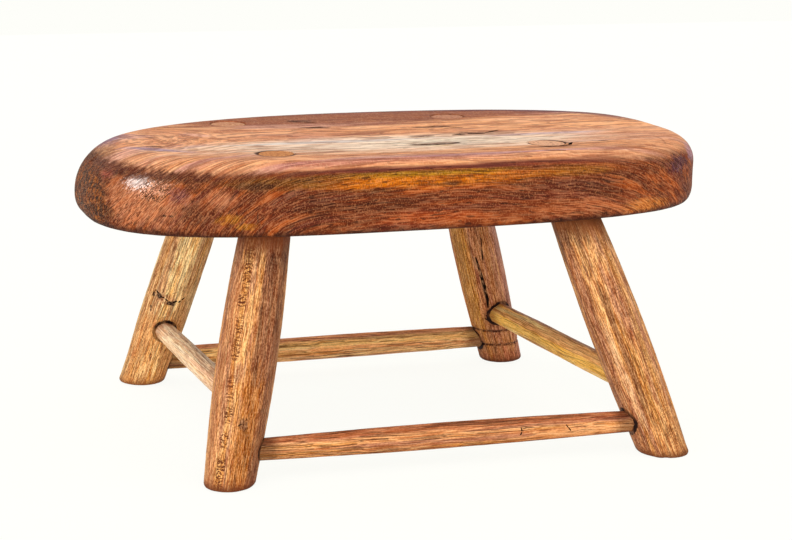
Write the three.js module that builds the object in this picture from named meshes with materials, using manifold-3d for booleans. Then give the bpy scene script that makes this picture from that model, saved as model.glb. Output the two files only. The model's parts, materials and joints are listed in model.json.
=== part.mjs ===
// A low milking stool in hardwood: a thick oval plank on four raked legs, tied together
// near the floor by two long and two short stretchers.
//
// Millimetres, +Z up, +X along the seat, the front of the stool towards -Y. The origin is
// on the floor under the middle of the seat.
//
// Each leg is one whittled round of wood. Its upper end is a tapered tenon that runs right
// through the seat, round about the leg's own raked line, so the weight of whoever sits
// down only wedges it tighter. The seat's mortise is the same cone, one clearance larger.
// The tenons are trimmed level just under the top face, and the feet level on the floor.
// The stretchers are whittled dowels, thicker in the middle, that end in round tenons in
// blind mortises in the legs, whose mouths are worn wider on the outside.

import * as THREE from 'three';
import { ParametricGeometry } from 'three/addons/geometries/ParametricGeometry.js';
import { mergeVertices } from 'three/addons/utils/BufferGeometryUtils.js';
import Module from 'manifold-3d';

const wasm = await Module();
wasm.setup();

// The seat plank
const seatLength = 448;
const seatWidth = 248;
const seatThickness = 48;
const seatHeight = 212;
const topRoundDown = 19;
const topRoundIn = 19;
const wornEndRound = 17;
const underRoundUp = 11;
const underRoundIn = 5;

// How full the seat's outline is at each corner: 2 is an ellipse, and more is squarer
const frontLeftFullness = 3.2;
const frontRightFullness = 3.1;
const rearLeftFullness = 2.3;
const rearRightFullness = 2.8;

// The legs: across the foot, the belly, at the underside of the seat and at the tenon's end
const footDiameter = 34;
const frontLeftBelly = 40.5;
const frontRightBelly = 39.5;
const rearLeftBelly = 38;
const rearRightBelly = 38.5;
const neckDiameter = 34;
const tenonEndDiameter = 24;
const tenonRecess = 0.8;
const footChamfer = 2.5;
const legFlatDepth = 0.5;

// The two rings scored round the rear right leg, at their height above the floor
const upperRingHeight = 30;
const lowerRingHeight = 17;
const ringDepth = 1.2;
const ringWidth = 3;

// The stretchers' diameters
const frontStretcherMiddle = 18.8;
const frontStretcherEnd = 15.8;
const rearStretcherMiddle = 20;
const rearStretcherEnd = 18;
const leftStretcherMiddle = 16;
const leftStretcherEnd = 15;
const rightStretcherMiddle = 18.4;
const rightStretcherEnd = 17.2;
const stretcherTenonDiameter = 12.5;
const stretcherFlatDepth = 0.35;

// The joints
const tenonDepth = 22;
const tenonChamfer = 1;
const shoulderStandOff = 1.2;
const shoulderLength = 3;
const mouthFlare = 1.4;
const mouthFlareDepth = 3;
const mortiseAir = 1;
const jointClearance = 0.3;

// Where the line of each leg meets the underside of the seat, measured in from the end and
// from the side of the seat, and how far the foot stands out beyond that point
const frontLeftEndInset = 112;
const frontLeftSideInset = 44;
const frontLeftEndSplay = 36;
const frontLeftSideSplay = 38;
const frontRightEndInset = 116;
const frontRightSideInset = 38;
const frontRightEndSplay = 52;
const frontRightSideSplay = 54;
const rearLeftEndInset = 112;
const rearLeftSideInset = 38;
const rearLeftEndSplay = 43;
const rearLeftSideSplay = 54;
const rearRightEndInset = 136;
const rearRightSideInset = 43;
const rearRightEndSplay = 56;
const rearRightSideSplay = 40;

// Each stretcher's height above the floor where it meets the line of each of its two legs
const frontStretcherLeftHeight = 21;
const frontStretcherRightHeight = 22;
const rearStretcherLeftHeight = 18;
const rearStretcherRightHeight = 21;
const leftStretcherFrontHeight = 51;
const leftStretcherRearHeight = 47;
const rightStretcherFrontHeight = 46;
const rightStretcherRearHeight = 46;

// The legs. The flats left by the knife are turned by flatTurn degrees about each leg.
const legs = [
  {
    name: 'front_left_leg', colour: 0xa06a3c, end: -1, side: -1, belly: frontLeftBelly,
    endInset: frontLeftEndInset, sideInset: frontLeftSideInset,
    endSplay: frontLeftEndSplay, sideSplay: frontLeftSideSplay, flatTurn: -105, scored: false,
  },
  {
    name: 'front_right_leg', colour: 0xa9713d, end: 1, side: -1, belly: frontRightBelly,
    endInset: frontRightEndInset, sideInset: frontRightSideInset,
    endSplay: frontRightEndSplay, sideSplay: frontRightSideSplay, flatTurn: -122, scored: false,
  },
  {
    name: 'rear_left_leg', colour: 0xb98a4c, end: -1, side: 1, belly: rearLeftBelly,
    endInset: rearLeftEndInset, sideInset: rearLeftSideInset,
    endSplay: rearLeftEndSplay, sideSplay: rearLeftSideSplay, flatTurn: -80, scored: false,
  },
  {
    name: 'rear_right_leg', colour: 0x9c6a41, end: 1, side: 1, belly: rearRightBelly,
    endInset: rearRightEndInset, sideInset: rearRightSideInset,
    endSplay: rearRightEndSplay, sideSplay: rearRightSideSplay, flatTurn: -95, scored: true,
  },
];

const stretchers = [
  {
    name: 'front_stretcher', colour: 0x9a5a38, middle: frontStretcherMiddle, end: frontStretcherEnd,
    from: 'front_left_leg', fromHeight: frontStretcherLeftHeight,
    to: 'front_right_leg', toHeight: frontStretcherRightHeight,
  },
  {
    name: 'rear_stretcher', colour: 0xa97545, middle: rearStretcherMiddle, end: rearStretcherEnd,
    from: 'rear_left_leg', fromHeight: rearStretcherLeftHeight,
    to: 'rear_right_leg', toHeight: rearStretcherRightHeight,
  },
  {
    name: 'left_stretcher', colour: 0xc79a6a, middle: leftStretcherMiddle, end: leftStretcherEnd,
    from: 'front_left_leg', fromHeight: leftStretcherFrontHeight,
    to: 'rear_left_leg', toHeight: leftStretcherRearHeight,
  },
  {
    name: 'right_stretcher', colour: 0xb8863f, middle: rightStretcherMiddle, end: rightStretcherEnd,
    from: 'front_right_leg', fromHeight: rightStretcherFrontHeight,
    to: 'rear_right_leg', toHeight: rightStretcherRearHeight,
  },
];

// Fineness of the skins: sides round each piece, and rows along its curved stretches
const seatSides = 84;
const topRoundRows = 7;
const underRoundRows = 4;
const legSides = 24;
const legRows = 7;
const legFlats = 8;
const stretcherSides = 16;
const stretcherRows = 8;
const stretcherFlats = 8;
const cutterSides = 24;

const seatUnderside = seatHeight - seatThickness;
const tenonTop = seatHeight - tenonRecess;
const up = new THREE.Vector3(0, 0, 1);

// A closed skin from rows of points. pointAt(row, angle, target) sets a point of one row,
// the rows run so that the skin faces outwards, and the first and last rows are one point
// each, which closes the ends.
function skin(rowCount, sides, pointAt) {
  const setPoint = (u, v, target) => {
    const side = Math.round(u * sides) % sides;
    pointAt(Math.round(v * (rowCount - 1)), (side / sides) * 2 * Math.PI, target);
  };
  return new ParametricGeometry(setPoint, sides, rowCount - 1);
}

// Soft flats left by the knife: the share of the full radius at an angle round the bar
function flatShare(angle, flats, depth, radius) {
  const pitch = (2 * Math.PI) / flats;
  const offMiddle = ((((angle % pitch) + pitch) % pitch) - pitch / 2);
  const deepest = 1 - Math.cos(pitch / 2);
  const cut = Math.cos(offMiddle) - Math.cos(pitch / 2);
  return 1 - (depth / radius) * (cut / deepest);
}

// The manifold solid of a geometry, in the frame that the matrix takes it to
function solidOf(geometry, matrix) {
  const bare = geometry.clone();
  bare.deleteAttribute('normal');
  bare.deleteAttribute('uv');
  bare.applyMatrix4(matrix);
  const merged = mergeVertices(bare, 1e-4);
  const corners = merged.index.array;
  const triVerts = [];
  for (let i = 0; i < corners.length; i += 3) {
    const [a, b, c] = [corners[i], corners[i + 1], corners[i + 2]];
    if (a !== b && b !== c && c !== a) triVerts.push(a, b, c);
  }
  return new wasm.Manifold(new wasm.Mesh({
    numProp: 3,
    vertProperties: new Float32Array(merged.attributes.position.array),
    triVerts: new Uint32Array(triVerts),
  }));
}

function placement(position, turn) {
  return new THREE.Matrix4().compose(position, turn, new THREE.Vector3(1, 1, 1));
}

// Takes the cutters, each a geometry and its place in the stool, out of a placed mesh
function cut(mesh, cutters) {
  const toMesh = mesh.matrixWorld.clone().invert();
  let body = solidOf(mesh.geometry, new THREE.Matrix4());
  for (const { geometry, matrix } of cutters) {
    body = body.subtract(solidOf(geometry, toMesh.clone().multiply(matrix)));
  }
  const { vertProperties, triVerts } = body.getMesh();
  const geometry = new THREE.BufferGeometry();
  geometry.setAttribute('position', new THREE.Float32BufferAttribute(vertProperties, 3));
  geometry.setIndex(Array.from(triVerts));
  geometry.computeVertexNormals();
  mesh.geometry = geometry;
}

function wood(colour) {
  return new THREE.MeshStandardMaterial({ color: colour, roughness: 0.6, metalness: 0 });
}

// The seat's outline as shares of its half length and half width, in the direction of angle
function outline(angle) {
  const c = Math.cos(angle);
  const s = Math.sin(angle);
  const toRight = (1 + THREE.MathUtils.clamp(4 * c, -1, 1)) / 2;
  const toRear = (1 + THREE.MathUtils.clamp(4 * s, -1, 1)) / 2;
  const front = THREE.MathUtils.lerp(frontLeftFullness, frontRightFullness, toRight);
  const rear = THREE.MathUtils.lerp(rearLeftFullness, rearRightFullness, toRight);
  const fullness = THREE.MathUtils.lerp(front, rear, toRear);
  const reach = (Math.abs(c) ** fullness + Math.abs(s) ** fullness) ** (-1 / fullness);
  return { x: reach * c, y: reach * s };
}

// The plank, standing on its underside: up the rounded lower edge, over the rounded top
// edge, which is worn down further towards the left end, and in across the flat top.
function seatGeometry() {
  const rows = [{ flat: 'under' }];
  for (let i = 0; i <= underRoundRows; i++) {
    rows.push({ edge: 'under', turn: (i / underRoundRows) * (Math.PI / 2) });
  }
  for (let i = 0; i <= topRoundRows; i++) {
    rows.push({ edge: 'top', turn: (i / topRoundRows) * (Math.PI / 2) });
  }
  rows.push({ flat: 'top' });

  return skin(rows.length, seatSides, (row, angle, target) => {
    const { flat, edge, turn } = rows[row];
    if (flat) {
      target.set(0, 0, flat === 'top' ? seatThickness : 0);
      return;
    }
    const rim = outline(angle);
    let inset;
    let z;
    if (edge === 'under') {
      inset = underRoundIn * (1 - Math.sin(turn));
      z = underRoundUp * (1 - Math.cos(turn));
    } else {
      const worn = wornEndRound * Math.max(-rim.x, 0) ** 2;
      inset = (topRoundIn + worn) * (1 - Math.cos(turn));
      z = seatThickness - (topRoundDown + worn) * (1 - Math.sin(turn));
    }
    target.set((seatLength / 2 - inset) * rim.x, (seatWidth / 2 - inset) * rim.y, z);
  });
}

// The raked line of a leg and the sizes that follow from it. Distances along the line are
// measured from the floor.
function legLine(leg) {
  const atSeat = new THREE.Vector3(
    leg.end * (seatLength / 2 - leg.endInset),
    leg.side * (seatWidth / 2 - leg.sideInset),
    seatUnderside,
  );
  const foot = new THREE.Vector3(
    atSeat.x + leg.end * leg.endSplay,
    atSeat.y + leg.side * leg.sideSplay,
    0,
  );
  const axis = atSeat.clone().sub(foot).normalize();
  const turn = new THREE.Quaternion().setFromUnitVectors(up, axis);
  const underside = seatUnderside / axis.z;
  const top = seatHeight / axis.z;
  const slope = (neckDiameter - tenonEndDiameter) / 2 / (top - underside);
  const shoulder = underside - (neckDiameter / 2) * Math.hypot(axis.x, axis.y) / axis.z;
  const taperRadius = (along) => neckDiameter / 2 - slope * (along - underside);
  const upInLeg = up.clone().applyQuaternion(turn.clone().invert());
  return { foot, axis, turn, shoulder, belly: leg.belly, taperRadius, upInLeg };
}

// The leg's radius at a distance along its line: a swelling shank, then the taper
function legRadius(line, along) {
  if (along >= line.shoulder) return line.taperRadius(along);
  const share = Math.max(along, 0) / line.shoulder;
  const straight = THREE.MathUtils.lerp(footDiameter / 2, line.taperRadius(line.shoulder), share);
  const swell = line.belly / 2 - (footDiameter / 2 + line.taperRadius(line.shoulder)) / 2;
  return straight + swell * Math.sin(Math.PI * share);
}

// A point in the leg's own frame on a bar that is round about the leg's line, at the angle
// round it and level with a height above the floor
function levelPoint(line, height, angle, radiusAt, target) {
  const lift = line.upInLeg.x * Math.cos(angle) + line.upInLeg.y * Math.sin(angle);
  let along = height / line.axis.z;
  for (let pass = 0; pass < 5; pass++) {
    along = (height - radiusAt(along) * lift) / line.axis.z;
  }
  const radius = radiusAt(along);
  target.set(radius * Math.cos(angle), radius * Math.sin(angle), along);
}

// The leg in its own frame, in level rows from the chamfered foot to the trimmed tenon
function legGeometry(leg, line) {
  const rows = [{ height: 0, middle: true }, { height: 0, less: footChamfer }, { height: footChamfer }];
  if (leg.scored) {
    for (const ring of [lowerRingHeight, upperRingHeight]) {
      rows.push({ height: ring - ringWidth / 2 });
      rows.push({ height: ring, less: ringDepth });
      rows.push({ height: ring + ringWidth / 2 });
    }
  }
  const shankFoot = rows.at(-1).height;
  for (let i = 1; i <= legRows; i++) {
    rows.push({ height: THREE.MathUtils.lerp(shankFoot, seatUnderside, i / legRows) });
  }
  rows.push({ height: (seatUnderside + tenonTop) / 2 });
  rows.push({ height: tenonTop }, { height: tenonTop, middle: true });

  return skin(rows.length, legSides, (row, angle, target) => {
    const { height, middle, less = 0 } = rows[row];
    if (middle) {
      target.set(0, 0, height / line.axis.z);
      return;
    }
    const radiusAt = (along) => {
      const full = legRadius(line, along) - less;
      const flatAngle = angle - THREE.MathUtils.degToRad(leg.flatTurn);
      const fade = THREE.MathUtils.clamp((line.shoulder - along) / neckDiameter, 0, 1);
      return full * flatShare(flatAngle, legFlats, legFlatDepth * fade, full);
    };
    levelPoint(line, height, angle, radiusAt, target);
  });
}

// What is taken out of the seat for a leg: the tenon's own cone, one clearance larger
function seatMortiseGeometry(line) {
  const below = seatUnderside - seatThickness / 4;
  const above = seatHeight + seatThickness / 4;
  const rows = [
    { height: below, middle: true }, { height: below },
    { height: above }, { height: above, middle: true },
  ];
  return skin(rows.length, cutterSides, (row, angle, target) => {
    const { height, middle } = rows[row];
    if (middle) target.set(0, 0, height / line.axis.z);
    else levelPoint(line, height, angle, (along) => line.taperRadius(along) + jointClearance, target);
  });
}

// Where a leg's line is at a height above the floor
function pointOnLeg(line, height) {
  return line.foot.clone().addScaledVector(line.axis, height / line.axis.z);
}

// The line of a stretcher from the middle of one leg to the middle of the other, and where
// along it the faces of the two legs are
function stretcherLine(stretcher, lines) {
  const start = pointOnLeg(lines[stretcher.from], stretcher.fromHeight);
  const finish = pointOnLeg(lines[stretcher.to], stretcher.toHeight);
  const axis = finish.clone().sub(start).normalize();
  const length = start.distanceTo(finish);
  const faceOf = (line, height) => {
    const radius = legRadius(line, height / line.axis.z);
    return radius / Math.sin(line.axis.angleTo(axis));
  };
  return {
    start,
    turn: new THREE.Quaternion().setFromUnitVectors(up, axis),
    length,
    firstFace: faceOf(lines[stretcher.from], stretcher.fromHeight),
    lastFace: length - faceOf(lines[stretcher.to], stretcher.toHeight),
  };
}

// The stretcher in its own frame: a tenon, a shoulder, the swelling body and the same again
function stretcherGeometry(stretcher, line) {
  const tenon = stretcherTenonDiameter / 2;
  const shoulderFrom = line.firstFace + shoulderStandOff;
  const shoulderTo = line.lastFace - shoulderStandOff;
  const rows = [
    { along: line.firstFace - tenonDepth, radius: 0 },
    { along: line.firstFace - tenonDepth, radius: tenon - tenonChamfer },
    { along: line.firstFace - tenonDepth + tenonChamfer, radius: tenon },
    { along: shoulderFrom, radius: tenon },
  ];
  const bodyFrom = shoulderFrom + shoulderLength;
  const bodyTo = shoulderTo - shoulderLength;
  for (let i = 0; i <= stretcherRows; i++) {
    const share = i / stretcherRows;
    const swell = (stretcher.middle - stretcher.end) / 2;
    rows.push({
      along: THREE.MathUtils.lerp(bodyFrom, bodyTo, share),
      radius: stretcher.end / 2 + swell * Math.sin(Math.PI * share),
      whittled: true,
    });
  }
  rows.push(
    { along: shoulderTo, radius: tenon },
    { along: line.lastFace + tenonDepth - tenonChamfer, radius: tenon },
    { along: line.lastFace + tenonDepth, radius: tenon - tenonChamfer },
    { along: line.lastFace + tenonDepth, radius: 0 },
  );
  return skin(rows.length, stretcherSides, (row, angle, target) => {
    const { along, radius, whittled } = rows[row];
    const share = whittled ? flatShare(angle, stretcherFlats, stretcherFlatDepth, radius) : 1;
    target.set(radius * share * Math.cos(angle), radius * share * Math.sin(angle), along);
  });
}

// What is taken out of a leg for a stretcher's end, in the stretcher's frame: a blind round
// hole, a little deeper than the tenon, whose mouth opens outwards
function legMortiseGeometry(face, outward) {
  const hole = stretcherTenonDiameter / 2 + jointClearance;
  const reach = neckDiameter / 2;
  const wide = hole + mouthFlare * (1 + reach / mouthFlareDepth);
  const profile = [
    new THREE.Vector2(0, -tenonDepth - mortiseAir),
    new THREE.Vector2(hole, -tenonDepth - mortiseAir),
    new THREE.Vector2(hole, -mouthFlareDepth),
    new THREE.Vector2(wide, reach),
    new THREE.Vector2(0, reach),
  ];
  const geometry = new THREE.LatheGeometry(profile, cutterSides);
  geometry.rotateX(outward > 0 ? Math.PI / 2 : -Math.PI / 2);
  geometry.translate(0, 0, face);
  return geometry;
}

function placed(geometry, name, colour, position, turn) {
  const mesh = new THREE.Mesh(geometry, wood(colour));
  mesh.name = name;
  mesh.position.copy(position);
  if (turn) mesh.quaternion.copy(turn);
  mesh.updateMatrixWorld();
  return mesh;
}

const stool = new THREE.Group();
const undercarriage = new THREE.Group();
const lines = Object.fromEntries(legs.map((leg) => [leg.name, legLine(leg)]));
const legCutters = Object.fromEntries(legs.map((leg) => [leg.name, []]));

for (const stretcher of stretchers) {
  const line = stretcherLine(stretcher, lines);
  const body = stretcherGeometry(stretcher, line);
  undercarriage.add(placed(body, stretcher.name, stretcher.colour, line.start, line.turn));
  const matrix = placement(line.start, line.turn);
  legCutters[stretcher.from].push({ geometry: legMortiseGeometry(line.firstFace, 1), matrix });
  legCutters[stretcher.to].push({ geometry: legMortiseGeometry(line.lastFace, -1), matrix });
}

const seatCutters = [];
for (const leg of legs) {
  const line = lines[leg.name];
  const mesh = placed(legGeometry(leg, line), leg.name, leg.colour, line.foot, line.turn);
  cut(mesh, legCutters[leg.name]);
  undercarriage.add(mesh);
  seatCutters.push({ geometry: seatMortiseGeometry(line), matrix: placement(line.foot, line.turn) });
}

const seat = placed(seatGeometry(), 'seat', 0x6e3820, new THREE.Vector3(0, 0, seatUnderside));
cut(seat, seatCutters);
stool.add(seat, undercarriage);

export default stool;
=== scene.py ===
"""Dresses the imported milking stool: an old worn seat, whittled legs and dowels, soft studio light.

Sizes are in millimetres and turn into metres where a mesh is made. Materials work in millimetres
too: a bar's from the start of its line, the seat's from the stool's own origin on the floor.
Colours are written as they look on a screen, from 0 to 255.
"""

import json
import logging
import math
from dataclasses import dataclass, field
from enum import Enum, auto
from typing import ClassVar

import bmesh
import bpy
import numpy as np
from mathutils import Matrix, Quaternion, Vector, noise


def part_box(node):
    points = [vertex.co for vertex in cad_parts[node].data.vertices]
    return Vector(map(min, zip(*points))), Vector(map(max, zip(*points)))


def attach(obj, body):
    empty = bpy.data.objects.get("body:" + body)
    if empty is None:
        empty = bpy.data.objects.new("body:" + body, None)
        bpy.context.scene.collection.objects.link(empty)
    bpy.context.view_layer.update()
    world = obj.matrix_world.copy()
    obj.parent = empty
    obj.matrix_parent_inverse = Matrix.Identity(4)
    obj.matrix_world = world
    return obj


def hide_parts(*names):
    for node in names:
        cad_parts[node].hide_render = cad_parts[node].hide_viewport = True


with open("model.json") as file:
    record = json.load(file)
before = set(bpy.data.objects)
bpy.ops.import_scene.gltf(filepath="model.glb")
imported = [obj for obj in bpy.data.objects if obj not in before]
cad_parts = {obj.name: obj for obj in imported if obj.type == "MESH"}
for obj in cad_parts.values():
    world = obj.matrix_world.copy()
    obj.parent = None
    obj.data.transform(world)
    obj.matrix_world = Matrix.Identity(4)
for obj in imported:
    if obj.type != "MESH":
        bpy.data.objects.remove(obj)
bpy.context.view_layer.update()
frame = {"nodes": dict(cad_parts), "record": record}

MM = 0.001
UP = Vector((0, 0, 1))
log = logging.getLogger("milking_stool")

Triple = tuple[float, float, float]
Material, Mesh, Object = bpy.types.Material, bpy.types.Mesh, bpy.types.Object
Node, NodeSocket, NodeTree = bpy.types.Node, bpy.types.NodeSocket, bpy.types.NodeTree

INK: Triple = (52, 25, 15)
SOOT: Triple = (24, 12, 8)
FIBRE: Triple = (178, 138, 116)
GLEAM: Triple = (140, 104, 74)

NUMBER = "NodeSocketFloat"
WHOLE = "NodeSocketInt"
VECTOR = "NodeSocketVector"
GEOMETRY = "NodeSocketGeometry"
MATERIAL = "NodeSocketMaterial"

FLATTEN: Triple = (1.0, 1.0, 0.0)
HALF: Triple = (0.5, 0.5, 0.5)
SHARP_ANGLE = 38.0
TURNED_SIDES = 96
LAST_FACES = 4
END_SLACK = 0.1
BAR_RELIEF = 0.2
RING_WIDTH = 1.1
SEAT_RELIEF = 0.25
CREVICE_RELIEF = 0.1


class Facing(Enum):
    """The side of a piece, as the direction that it faces in the standing stool."""

    UP = (0, 0, 1)
    DOWN = (0, 0, -1)
    FRONT = (0, -1, 0)
    LEFT = (-1, 0, 0)


class Way(Enum):
    """How one colour is laid over another."""

    COVER = "MIX"
    STAIN = "MULTIPLY"
    BLEACH = "SCREEN"


def shade(red: float, green: float, blue: float) -> tuple[float, float, float, float]:
    """Turns a colour as it looks on a screen into Blender's linear colour.

    Args:
        red: Red from 0 to 255.
        green: Green from 0 to 255.
        blue: Blue from 0 to 255.

    Returns:
        The linear colour with an alpha of 1.
    """
    linear = []
    for part in (red, green, blue):
        share = part / 255
        linear.append(share / 12.92 if share <= 0.04045 else ((share + 0.055) / 1.055) ** 2.4)
    return (*linear, 1.0)


def held(value: float) -> float:
    """A number held between 0 and 1."""
    return max(0.0, min(1.0, value))


def circle(degrees: float) -> Triple:
    """The direction at an angle in degrees round Z."""
    turn = math.radians(degrees)
    return math.cos(turn), math.sin(turn), 0.0


class Field:
    """A value in a node tree. Arithmetic on it adds Math nodes."""

    def __init__(self, graph: "Graph", socket: NodeSocket) -> None:
        """Keeps the socket and the graph that it belongs to."""
        self.graph = graph
        self.socket = socket

    def __add__(self, other: "Field | float") -> "Field":
        """Adds."""
        return self.graph.math("ADD", self, other)

    def __sub__(self, other: "Field | float") -> "Field":
        """Subtracts."""
        return self.graph.math("SUBTRACT", self, other)

    def __mul__(self, other: "Field | float") -> "Field":
        """Multiplies."""
        return self.graph.math("MULTIPLY", self, other)

    def __truediv__(self, other: "Field | float") -> "Field":
        """Divides."""
        return self.graph.math("DIVIDE", self, other)

    def __rsub__(self, other: float) -> "Field":
        """Subtracts from a number."""
        return self.graph.math("SUBTRACT", other, self)


Value = Field | float | int | tuple | Vector


class Graph:
    """Writes nodes and links into one node tree."""

    def __init__(self, tree: NodeTree) -> None:
        """Keeps the tree."""
        self.tree = tree
        self.given: dict[str, Field] = {}

    @classmethod
    def group(cls, name: str, kind: str, takes: dict[str, tuple], gives: dict[str, str]) -> "Graph":
        """Starts a node group.

        Args:
            name: The group's name.
            kind: Its tree type.
            takes: Each input's name with its socket type and default.
            gives: Each output's name with its socket type.

        Returns:
            The graph, whose given dictionary holds the inputs.
        """
        tree = bpy.data.node_groups.new(name, kind)
        for title, (socket, default) in takes.items():
            made = tree.interface.new_socket(title, in_out="INPUT", socket_type=socket)
            if default is not None:
                made.default_value = default
        for title, socket in gives.items():
            tree.interface.new_socket(title, in_out="OUTPUT", socket_type=socket)
        graph = cls(tree)
        inputs = tree.nodes.new("NodeGroupInput").outputs
        graph.given = {title: Field(graph, inputs[title]) for title in takes}
        graph.output = tree.nodes.new("NodeGroupOutput")
        return graph

    def give(self, **values: Value) -> None:
        """Joins values to the group's outputs. An underscore in a name stands for a space."""
        for title, value in values.items():
            self.put(self.output.inputs[title.replace("_", " ")], value)

    def put(self, socket: NodeSocket, value: Value) -> None:
        """Links a field to a socket, or sets the socket to a plain value."""
        if isinstance(value, Field):
            self.tree.links.new(value.socket, socket)
        else:
            socket.default_value = value

    def node(self, kind: str, inputs: dict | None = None, **settings: object) -> Node:
        """Adds one node.

        Args:
            kind: The node's type.
            inputs: Values by the socket's name or number.
            settings: The node's own properties.

        Returns:
            The node.
        """
        made = self.tree.nodes.new(kind)
        for name, value in settings.items():
            setattr(made, name, value)
        for key, value in (inputs or {}).items():
            self.put(made.inputs[key], value)
        return made

    def out(self, kind: str, inputs: dict | None = None, output: int | str = 0, **settings: object) -> Field:
        """Adds one node and returns one of its outputs."""
        return Field(self, self.node(kind, inputs, **settings).outputs[output])

    def math(self, operation: str, *values: Value) -> Field:
        """Adds a Math node."""
        return self.out("ShaderNodeMath", dict(enumerate(values)), operation=operation)

    def vector(self, operation: str, *values: Value) -> Field:
        """Adds a Vector Math node whose answer is a vector."""
        return self.out("ShaderNodeVectorMath", dict(enumerate(values)), operation=operation)

    def number(self, operation: str, *values: Value) -> Field:
        """Adds a Vector Math node whose answer is a number."""
        return self.out("ShaderNodeVectorMath", dict(enumerate(values)), "Value", operation=operation)

    def absolute(self, value: Value) -> Field:
        """A number without its sign."""
        return self.math("ABSOLUTE", value)

    def scaled(self, vector: Value, factor: Value) -> Field:
        """A vector times a number."""
        return self.out("ShaderNodeVectorMath", {0: vector, "Scale": factor}, operation="SCALE")

    def split(self, vector: Value) -> tuple[Field, Field, Field]:
        """The three parts of a vector."""
        outputs = self.node("ShaderNodeSeparateXYZ", {0: vector}).outputs
        return Field(self, outputs[0]), Field(self, outputs[1]), Field(self, outputs[2])

    def join(self, x: Value, y: Value, z: Value) -> Field:
        """A vector from three numbers."""
        return self.out("ShaderNodeCombineXYZ", {0: x, 1: y, 2: z})

    def mix(self, share: Value, first: Value, second: Value) -> Field:
        """A number between two numbers."""
        return self.out("ShaderNodeMix", {0: share, 2: first, 3: second}, data_type="FLOAT")

    def clamp(self, value: Value) -> Field:
        """A number held between 0 and 1."""
        return self.out("ShaderNodeClamp", {0: value})

    def ramp(self, value: Value, low: Value, high: Value) -> Field:
        """A soft step from 0 at low to 1 at high, which may be the lower of the two."""
        edges = {"Value": value, "From Min": low, "From Max": high}
        return self.out("ShaderNodeMapRange", edges, interpolation_type="SMOOTHSTEP")

    def noise(
        self, vector: Value, detail: float = 2.0, roughness: float = 0.5, colour: bool = False
    ) -> Field:
        """A cloudy pattern one unit across, as a number round 0.5 or as a colour."""
        inputs = {"Vector": vector, "Scale": 1.0, "Detail": detail, "Roughness": roughness}
        return self.out("ShaderNodeTexNoise", inputs, 1 if colour else 0)


def settle(piece: Object) -> None:
    """Turns what a piece's modifiers make into its own plain mesh."""
    graph = bpy.context.evaluated_depsgraph_get()
    made = piece.evaluated_get(graph)
    mesh = bpy.data.meshes.new_from_object(made, preserve_all_data_layers=True, depsgraph=graph)
    old = piece.data
    piece.modifiers.clear()
    piece.data = mesh
    mesh.name = piece.name
    bpy.data.meshes.remove(old)
    while len(mesh.materials) and mesh.materials[0] is None:
        mesh.materials.pop(index=0)


def shape(piece: Object, tree: NodeTree, values: dict[str, object]) -> None:
    """Runs a Geometry Nodes tree on a piece and settles it.

    Args:
        piece: The piece.
        tree: The tree.
        values: Values by the name of the tree's input.
    """
    modifier = piece.modifiers.new(tree.name, "NODES")
    modifier.node_group = tree
    inputs = [item for item in tree.interface.items_tree if item.in_out == "INPUT"]
    sockets = {item.name: item.identifier for item in inputs}
    for title, value in values.items():
        modifier[sockets[title]] = value
    settle(piece)


def show(name: str, mesh: Mesh) -> Object:
    """Puts a mesh into the scene as an object of its own."""
    piece = bpy.data.objects.new(name, mesh)
    bpy.context.scene.collection.objects.link(piece)
    return piece


@dataclass(frozen=True)
class Line:
    """The straight line that a leg or stretcher is made about, in metres."""

    start: Vector
    finish: Vector

    @property
    def turn(self) -> Quaternion:
        """The turn that takes the upright direction to this line."""
        return UP.rotation_difference(self.finish - self.start)

    @property
    def length(self) -> float:
        """The line's length."""
        return (self.finish - self.start).length

    @property
    def axis(self) -> Vector:
        """The line's direction."""
        return (self.finish - self.start).normalized()

    @property
    def reversed(self) -> "Line":
        """The same line from its other end."""
        return Line(self.finish, self.start)

    def gap(self, point: Vector) -> float:
        """How far a point is from the line, in metres."""
        beside = point - self.start
        return (beside - self.axis * beside.dot(self.axis)).length

    def spoke(self, angle: float) -> Vector:
        """The direction out of the line at an angle in degrees."""
        return self.turn @ Vector(circle(angle))

    def point(self, along: float, angle: float, radius: float) -> Vector:
        """A point beside the line.

        Args:
            along: Millimetres from the start.
            angle: Degrees round the line.
            radius: Millimetres out from it.

        Returns:
            The point in metres.
        """
        return self.start + (self.axis * along + self.spoke(angle) * radius) * MM

    def angle_to(self, facing: Facing) -> float:
        """The angle round the line, in degrees, that faces a side of the stool."""
        local = self.turn.inverted() @ Vector(facing.value)
        return math.degrees(math.atan2(local.y, local.x))


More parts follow.
